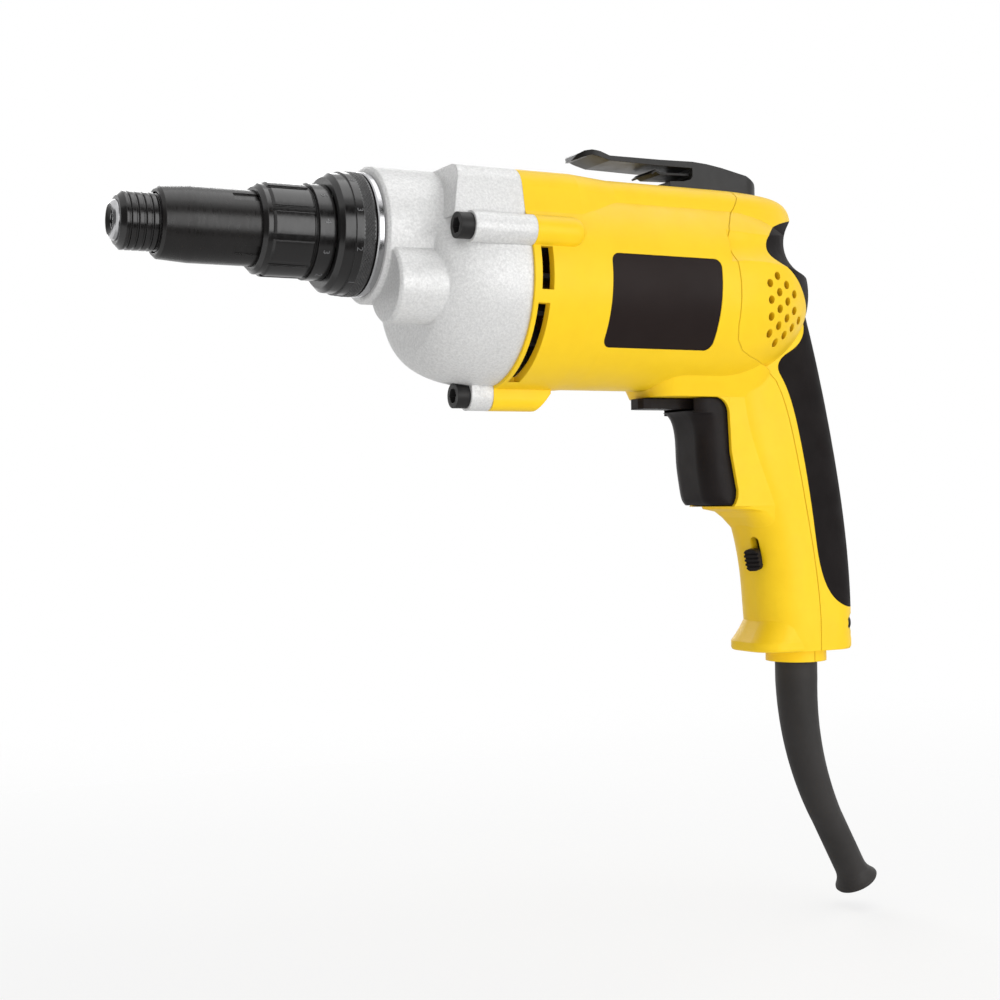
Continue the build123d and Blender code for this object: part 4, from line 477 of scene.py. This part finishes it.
def numerals_on_ring(name, x_mm, radius, size_mm, first):
    """Plain numerals from 1 up round a ring, read from the nose's side, raised a little from the band."""
    joined = bmesh.new()
    for index in range(NUMERAL_COUNT):
        curve = bpy.data.curves.new(name + "_text", "FONT")
        curve.body = str(index + 1)
        curve.size = size_mm
        curve.align_x = "CENTER"
        curve.align_y = "CENTER"
        curve.resolution_u = NUMERAL_CURVE_STEPS
        carrier = bpy.data.objects.new(name + "_text", curve)
        flat = bpy.data.meshes.new_from_object(carrier)
        bpy.data.objects.remove(carrier)
        bpy.data.curves.remove(curve)
        part = bmesh.new()
        part.from_mesh(flat)
        bpy.data.meshes.remove(flat)
        bmesh.ops.remove_doubles(part, verts=part.verts, dist=NUMERAL_WELD)
        grown = bmesh.ops.extrude_face_region(part, geom=part.faces[:])
        for item in grown["geom"]:
            if isinstance(item, bmesh.types.BMVert):
                item.co.z = 1.0
        turn = first + radians(NUMERAL_STEP) * index
        for vert in part.verts:
            lift = NUMERAL_HEIGHT if vert.co.z > 0.5 else -NUMERAL_FOOT
            vert.co = wrapped(x_mm + vert.co.y, turn - vert.co.x / radius, radius + lift)
        scrap = bpy.data.meshes.new("scrap")
        part.to_mesh(scrap)
        part.free()
        joined.from_mesh(scrap)
        bpy.data.meshes.remove(scrap)
    return finished_mesh(joined, name)


marking = (
    Surface("raised_marks", (0.10, 0.10, 0.104), 0.32)
    .mottle(300, (0.15, 0.15, 0.155), 0.6)
    .uneven(400, 0.26, 0.4)
    .grain(2400, 0.008, 0.4)
)
# A lighter black than the ring's own, as painted sheen for the light that the knurl catches; the raised
# diamonds are real shape.
knurl_painted_sheen = (
    Surface("knurled_black_painted_sheen", (0.016, 0.0155, 0.016), 0.3)
    .mottle(500, (0.05, 0.049, 0.05), 0.7)
    .uneven(400, 0.24, 0.38)
    .grain(2400, 0.008, 0.4)
    .set(Specular_IOR_Level=0.8)
)
# Painted shade: a dark skin over the socket's countersink stands for the shade inside the mouth of the
# socket.
socket_painted_shade = (
    Surface("socket_painted_shade", (0.03, 0.029, 0.029), 0.4, 0.6)
    .mottle(400, (0.055, 0.054, 0.053), 0.6)
    .uneven(500, 0.34, 0.48)
    .grain(2400, 0.01, 0.4)
)
knurl_mesh = knurled_band(
    "lock_ring_knurl",
    LOCK_RING_FACE + KNURL_FROM_FACE,
    LOCK_RING_REAR - KNURL_FROM_REAR,
    LOCK_RING_R,
    KNURL_DEPTH,
    KNURL_TEETH,
    KNURL_ROWS,
)
# The knurl's lighter colour is painted sheen, laid on real raised diamonds.
add_piece("lock_ring_knurl", knurl_mesh, "locking_ring", knurl_painted_sheen, smooth=False)
ring_numbers = numerals_on_ring(
    "lock_ring_numerals",
    LOCK_RING_FACE + RING_NUMERAL_FROM_FACE,
    LOCK_RING_R,
    RING_NUMERAL_SIZE,
    radians(RING_NUMERAL_FIRST),
)
add_piece("lock_ring_numerals", ring_numbers, "locking_ring", marking, smooth=False)
collar_numbers = numerals_on_ring(
    "collar_numerals",
    COLLAR_REAR - COLLAR_BAND / 2,
    COLLAR_BAND_R,
    COLLAR_NUMERAL_SIZE,
    radians(COLLAR_NUMERAL_FIRST),
)
add_piece("collar_numerals", collar_numbers, "collar", marking, smooth=False)


def turned_band(name, profile, steps=64):
    """A thin turned skin through (station, radius) points."""
    made = bmesh.new()
    turns = [2 * pi * step / steps for step in range(steps)]
    rings = [[made.verts.new(wrapped(x, turn, r)) for turn in turns] for x, r in profile]
    for low, high in zip(rings, rings[1:]):
        for step in range(steps):
            nxt = (step + 1) % steps
            made.faces.new((low[step], low[nxt], high[nxt], high[step]))
    return finished_mesh(made, name)


# A thin dark skin over the countersink, painted shade for the shade in the socket's mouth.
mouth_shade_mesh = turned_band("socket_mouth_painted_shade", SOCKET_MOUTH)
add_piece("socket_mouth_painted_shade", mouth_shade_mesh, "spindle", socket_painted_shade)


def corner_webs(name, steps=10):
    """Two thin webs with a round edge that fill the corner between guard and barrel, one on each side."""
    x, z = GUARD_CORNER
    shape = [(x + WEB_LAP, z + WEB_LAP), (x - WEB_REACH, z + WEB_LAP)]
    for step in range(steps + 1):
        turn = pi / 2 * step / steps
        shape.append((x - WEB_REACH + WEB_REACH * sin(turn), z - WEB_REACH + WEB_REACH * cos(turn)))
    shape.append((x + WEB_LAP, z - WEB_REACH))
    made = bmesh.new()
    for side in (-1, 1):
        faces = []
        for y in (WEB_INNER, WEB_OUTER):
            faces.append([made.verts.new(Vector((px, side * y, pz)) * MM) for px, pz in shape])
        made.faces.new(faces[0])
        made.faces.new(list(reversed(faces[1])))
        for i in range(len(shape)):
            j = (i + 1) % len(shape)
            made.faces.new((faces[0][j], faces[0][i], faces[1][i], faces[1][j]))
    return finished_mesh(made, name)


webs = corner_webs("guard_corner_webs")
add_piece("guard_corner_webs", webs, "housing", yellow, smooth=False)

# Springs shown as coils: node, body under the resting end, body under the moving end, way to that end
SPRINGS = (
    ("collar_spring", "torque_setting", "collar", (1, 0, 0)),
    ("release_spring", "spindle", "bit_release", (-1, 0, 0)),
    ("return_spring", "drive", "spindle", (-1, 0, 0)),
    ("clutch_spring", "housing", "nut", (-1, 0, 0)),
    ("brush_spring_left", "housing", "left_brush", (0, 1, 0)),
    ("brush_spring_right", "housing", "right_brush", (0, -1, 0)),
    ("trigger_spring", "housing", "trigger_body", (-1, 0, 0)),
)


def coil_between(node, resting, moving, way):
    """A copy of the spring's coil, baked in place, that shows instead of the hidden spring node."""
    coil = bpy.data.objects.new(node + "_coil", nodes[node].data.copy())
    scene.collection.objects.link(coil)
    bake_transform(coil)
    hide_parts(node)


for spring in SPRINGS:
    coil_between(*spring)


# Floor, light and camera
def plainly_seen(tree):
    """1 for rays that show the background: straight from the camera, mirrored or through glass."""
    rays = tree.nodes.new("ShaderNodeLightPath")
    result = rays.outputs["Is Camera Ray"]
    for kind in ("Is Glossy Ray", "Is Transmission Ray"):
        either = tree.nodes.new("ShaderNodeMath")
        either.operation = "MAXIMUM"
        tree.links.new(result, either.inputs[0])
        tree.links.new(rays.outputs[kind], either.inputs[1])
        result = either.outputs["Value"]
    return result


floor_z = cad_low.z - FLOOR_DROP
floor_middle = (FLOOR_X, 0.0, floor_z)
disc = bmesh.new()
bmesh.ops.create_circle(disc, cap_ends=True, segments=FLOOR_SEGMENTS, radius=FLOOR_R)
bmesh.ops.translate(disc, verts=disc.verts, vec=floor_middle)
floor_mesh = bpy.data.meshes.new("studio_floor")
disc.to_mesh(floor_mesh)
disc.free()
floor = bpy.data.objects.new("studio_floor", floor_mesh)
scene.collection.objects.link(floor)
floor_look = bpy.data.materials.new("studio_floor")
floor_look.use_nodes = True
tree = floor_look.node_tree
floor_shader = tree.nodes["Principled BSDF"]
floor_shader.inputs["Base Color"].default_value = FLOOR_COLOUR
floor_shader.inputs["Roughness"].default_value = FLOOR_ROUGHNESS
coords = tree.nodes.new("ShaderNodeTexCoord")
middle = tree.nodes.new("ShaderNodeVectorMath")
middle.operation = "SUBTRACT"
middle.inputs[1].default_value = floor_middle
length = tree.nodes.new("ShaderNodeVectorMath")
length.operation = "LENGTH"
fade = tree.nodes.new("ShaderNodeMapRange")
fade.interpolation_type = "SMOOTHSTEP"
fade.inputs["From Min"].default_value = FLOOR_FADE[0]
fade.inputs["From Max"].default_value = FLOOR_FADE[1]
clear = tree.nodes.new("ShaderNodeBsdfTransparent")
blend = tree.nodes.new("ShaderNodeMixShader")
tree.links.new(coords.outputs["Object"], middle.inputs[0])
tree.links.new(middle.outputs["Vector"], length.inputs[0])
tree.links.new(length.outputs["Value"], fade.inputs["Value"])
tree.links.new(fade.outputs["Result"], blend.inputs["Fac"])
glow = tree.nodes.new("ShaderNodeEmission")
share = tree.nodes.new("ShaderNodeMath")
share.operation = "MULTIPLY"
share.inputs[1].default_value = FLOOR_GLOW
pale = tree.nodes.new("ShaderNodeMixShader")
tree.links.new(plainly_seen(tree), share.inputs[0])
tree.links.new(share.outputs["Value"], pale.inputs["Fac"])
tree.links.new(floor_shader.outputs["BSDF"], pale.inputs[1])
tree.links.new(glow.outputs["Emission"], pale.inputs[2])
tree.links.new(pale.outputs["Shader"], blend.inputs[1])
tree.links.new(clear.outputs["BSDF"], blend.inputs[2])
tree.links.new(blend.outputs["Shader"], tree.nodes["Material Output"].inputs["Surface"])
floor_mesh.materials.append(floor_look)

world = bpy.data.worlds.new("studio")
scene.world = world
world.use_nodes = True
sky = world.node_tree
backdrop = sky.nodes["Background"]
backdrop.inputs["Color"].default_value = (1, 1, 1, 1)
level = sky.nodes.new("ShaderNodeMapRange")
level.inputs["To Min"].default_value = WORLD_FILL
level.inputs["To Max"].default_value = 1.0
sky.links.new(plainly_seen(sky), level.inputs["Value"])
sky.links.new(level.outputs["Result"], backdrop.inputs["Strength"])


def softbox(name, place, size, watts, mirrored=True):
    """A soft lamp turned to the part; mirrored says whether glossy surfaces show it."""
    light = bpy.data.lights.new(name, "AREA")
    light.shape = "RECTANGLE"
    light.size, light.size_y = size
    light.energy = watts
    lamp = bpy.data.objects.new(name, light)
    lamp.location = place
    lamp.rotation_mode = "QUATERNION"
    lamp.rotation_quaternion = (Vector(LAMP_AIM) - Vector(place)).to_track_quat("-Z", "Y")
    lamp.visible_glossy = mirrored
    scene.collection.objects.link(lamp)


softbox("side_softbox", place=(0.50, -0.88, 0.07), size=(1.0, 0.7), watts=4.6)
softbox("top_softbox", place=(0.50, -0.05, 1.0), size=(1.0, 1.1), watts=4.6)
softbox("low_softbox", place=(-0.30, -0.85, -0.22), size=(0.8, 0.12), watts=3.4, mirrored=False)
softbox("back_softbox", place=(0.35, 1.0, 0.35), size=(0.9, 0.6), watts=5.0)


def studio_card(name, rows, level):
    """A card that only glossy surfaces see, as the dark bands in polished metal; rows of corner pairs."""
    made = bmesh.new()
    pairs = [[made.verts.new(point) for point in row] for row in rows]
    for (a, b), (c, d) in zip(pairs, pairs[1:]):
        made.faces.new((a, b, d, c))
    mesh = bpy.data.meshes.new(name)
    made.to_mesh(mesh)
    made.free()
    look = bpy.data.materials.new(name)
    look.use_nodes = True
    shader = look.node_tree.nodes["Principled BSDF"]
    shader.inputs["Base Color"].default_value = (0, 0, 0, 1)
    shader.inputs["Specular IOR Level"].default_value = 0.0
    shader.inputs["Emission Color"].default_value = (1, 1, 1, 1)
    shader.inputs["Emission Strength"].default_value = level
    mesh.materials.append(look)
    card = bpy.data.objects.new(name, mesh)
    scene.collection.objects.link(card)
    card.visible_camera = False
    card.visible_diffuse = False
    card.visible_shadow = False


def bent_rows(steps=24):
    """Corner pairs of a strip bent round the spindle's axis."""
    low, high = STRIP_ANGLES
    angles = [radians(low + (high - low) * step / steps) for step in range(steps + 1)]
    return [[wrapped(x / MM, angle, STRIP_R / MM) for x in (0, STRIP_LENGTH)] for angle in angles]


def floor_rows(near, far):
    """Corner pairs of a card just above the floor."""
    card_z = floor_z + CARD_LIFT
    return [[(x, near, card_z), (x, far, card_z)] for x in FLOOR_CARD_X]


studio_card("black_strip", bent_rows(), level=0.0)
studio_card("near_floor_card", floor_rows(FLOOR_CARD_NEAR, FLOOR_CARD_JOINT), level=0.06)
studio_card("far_floor_card", floor_rows(FLOOR_CARD_JOINT, FLOOR_CARD_FAR), level=0.5)
left_rows = [[(LEFT_CARD_X, y, z) for z in LEFT_CARD_Z] for y in LEFT_CARD_Y]
studio_card("left_card", left_rows, level=0.15)

camera_data = bpy.data.cameras.new("photo_camera")
camera_data.lens = CAMERA_LENS
camera_data.sensor_width = CAMERA_SENSOR
camera = bpy.data.objects.new("photo_camera", camera_data)
scene.collection.objects.link(camera)
azimuth, roll = radians(CAMERA_AZIMUTH), radians(CAMERA_ROLL)
ahead = Vector((sin(azimuth), cos(azimuth), 0))
level_right = Vector((cos(azimuth), -sin(azimuth), 0))
up = Vector((0, 0, 1))
right = level_right * cos(roll) + up * sin(roll)
rise = up * cos(roll) - level_right * sin(roll)
camera.matrix_world = Matrix((right, rise, -ahead)).transposed().to_4x4()
camera.location = CAMERA_PLACE
scene.camera = camera
scene.view_settings.view_transform = "Standard"
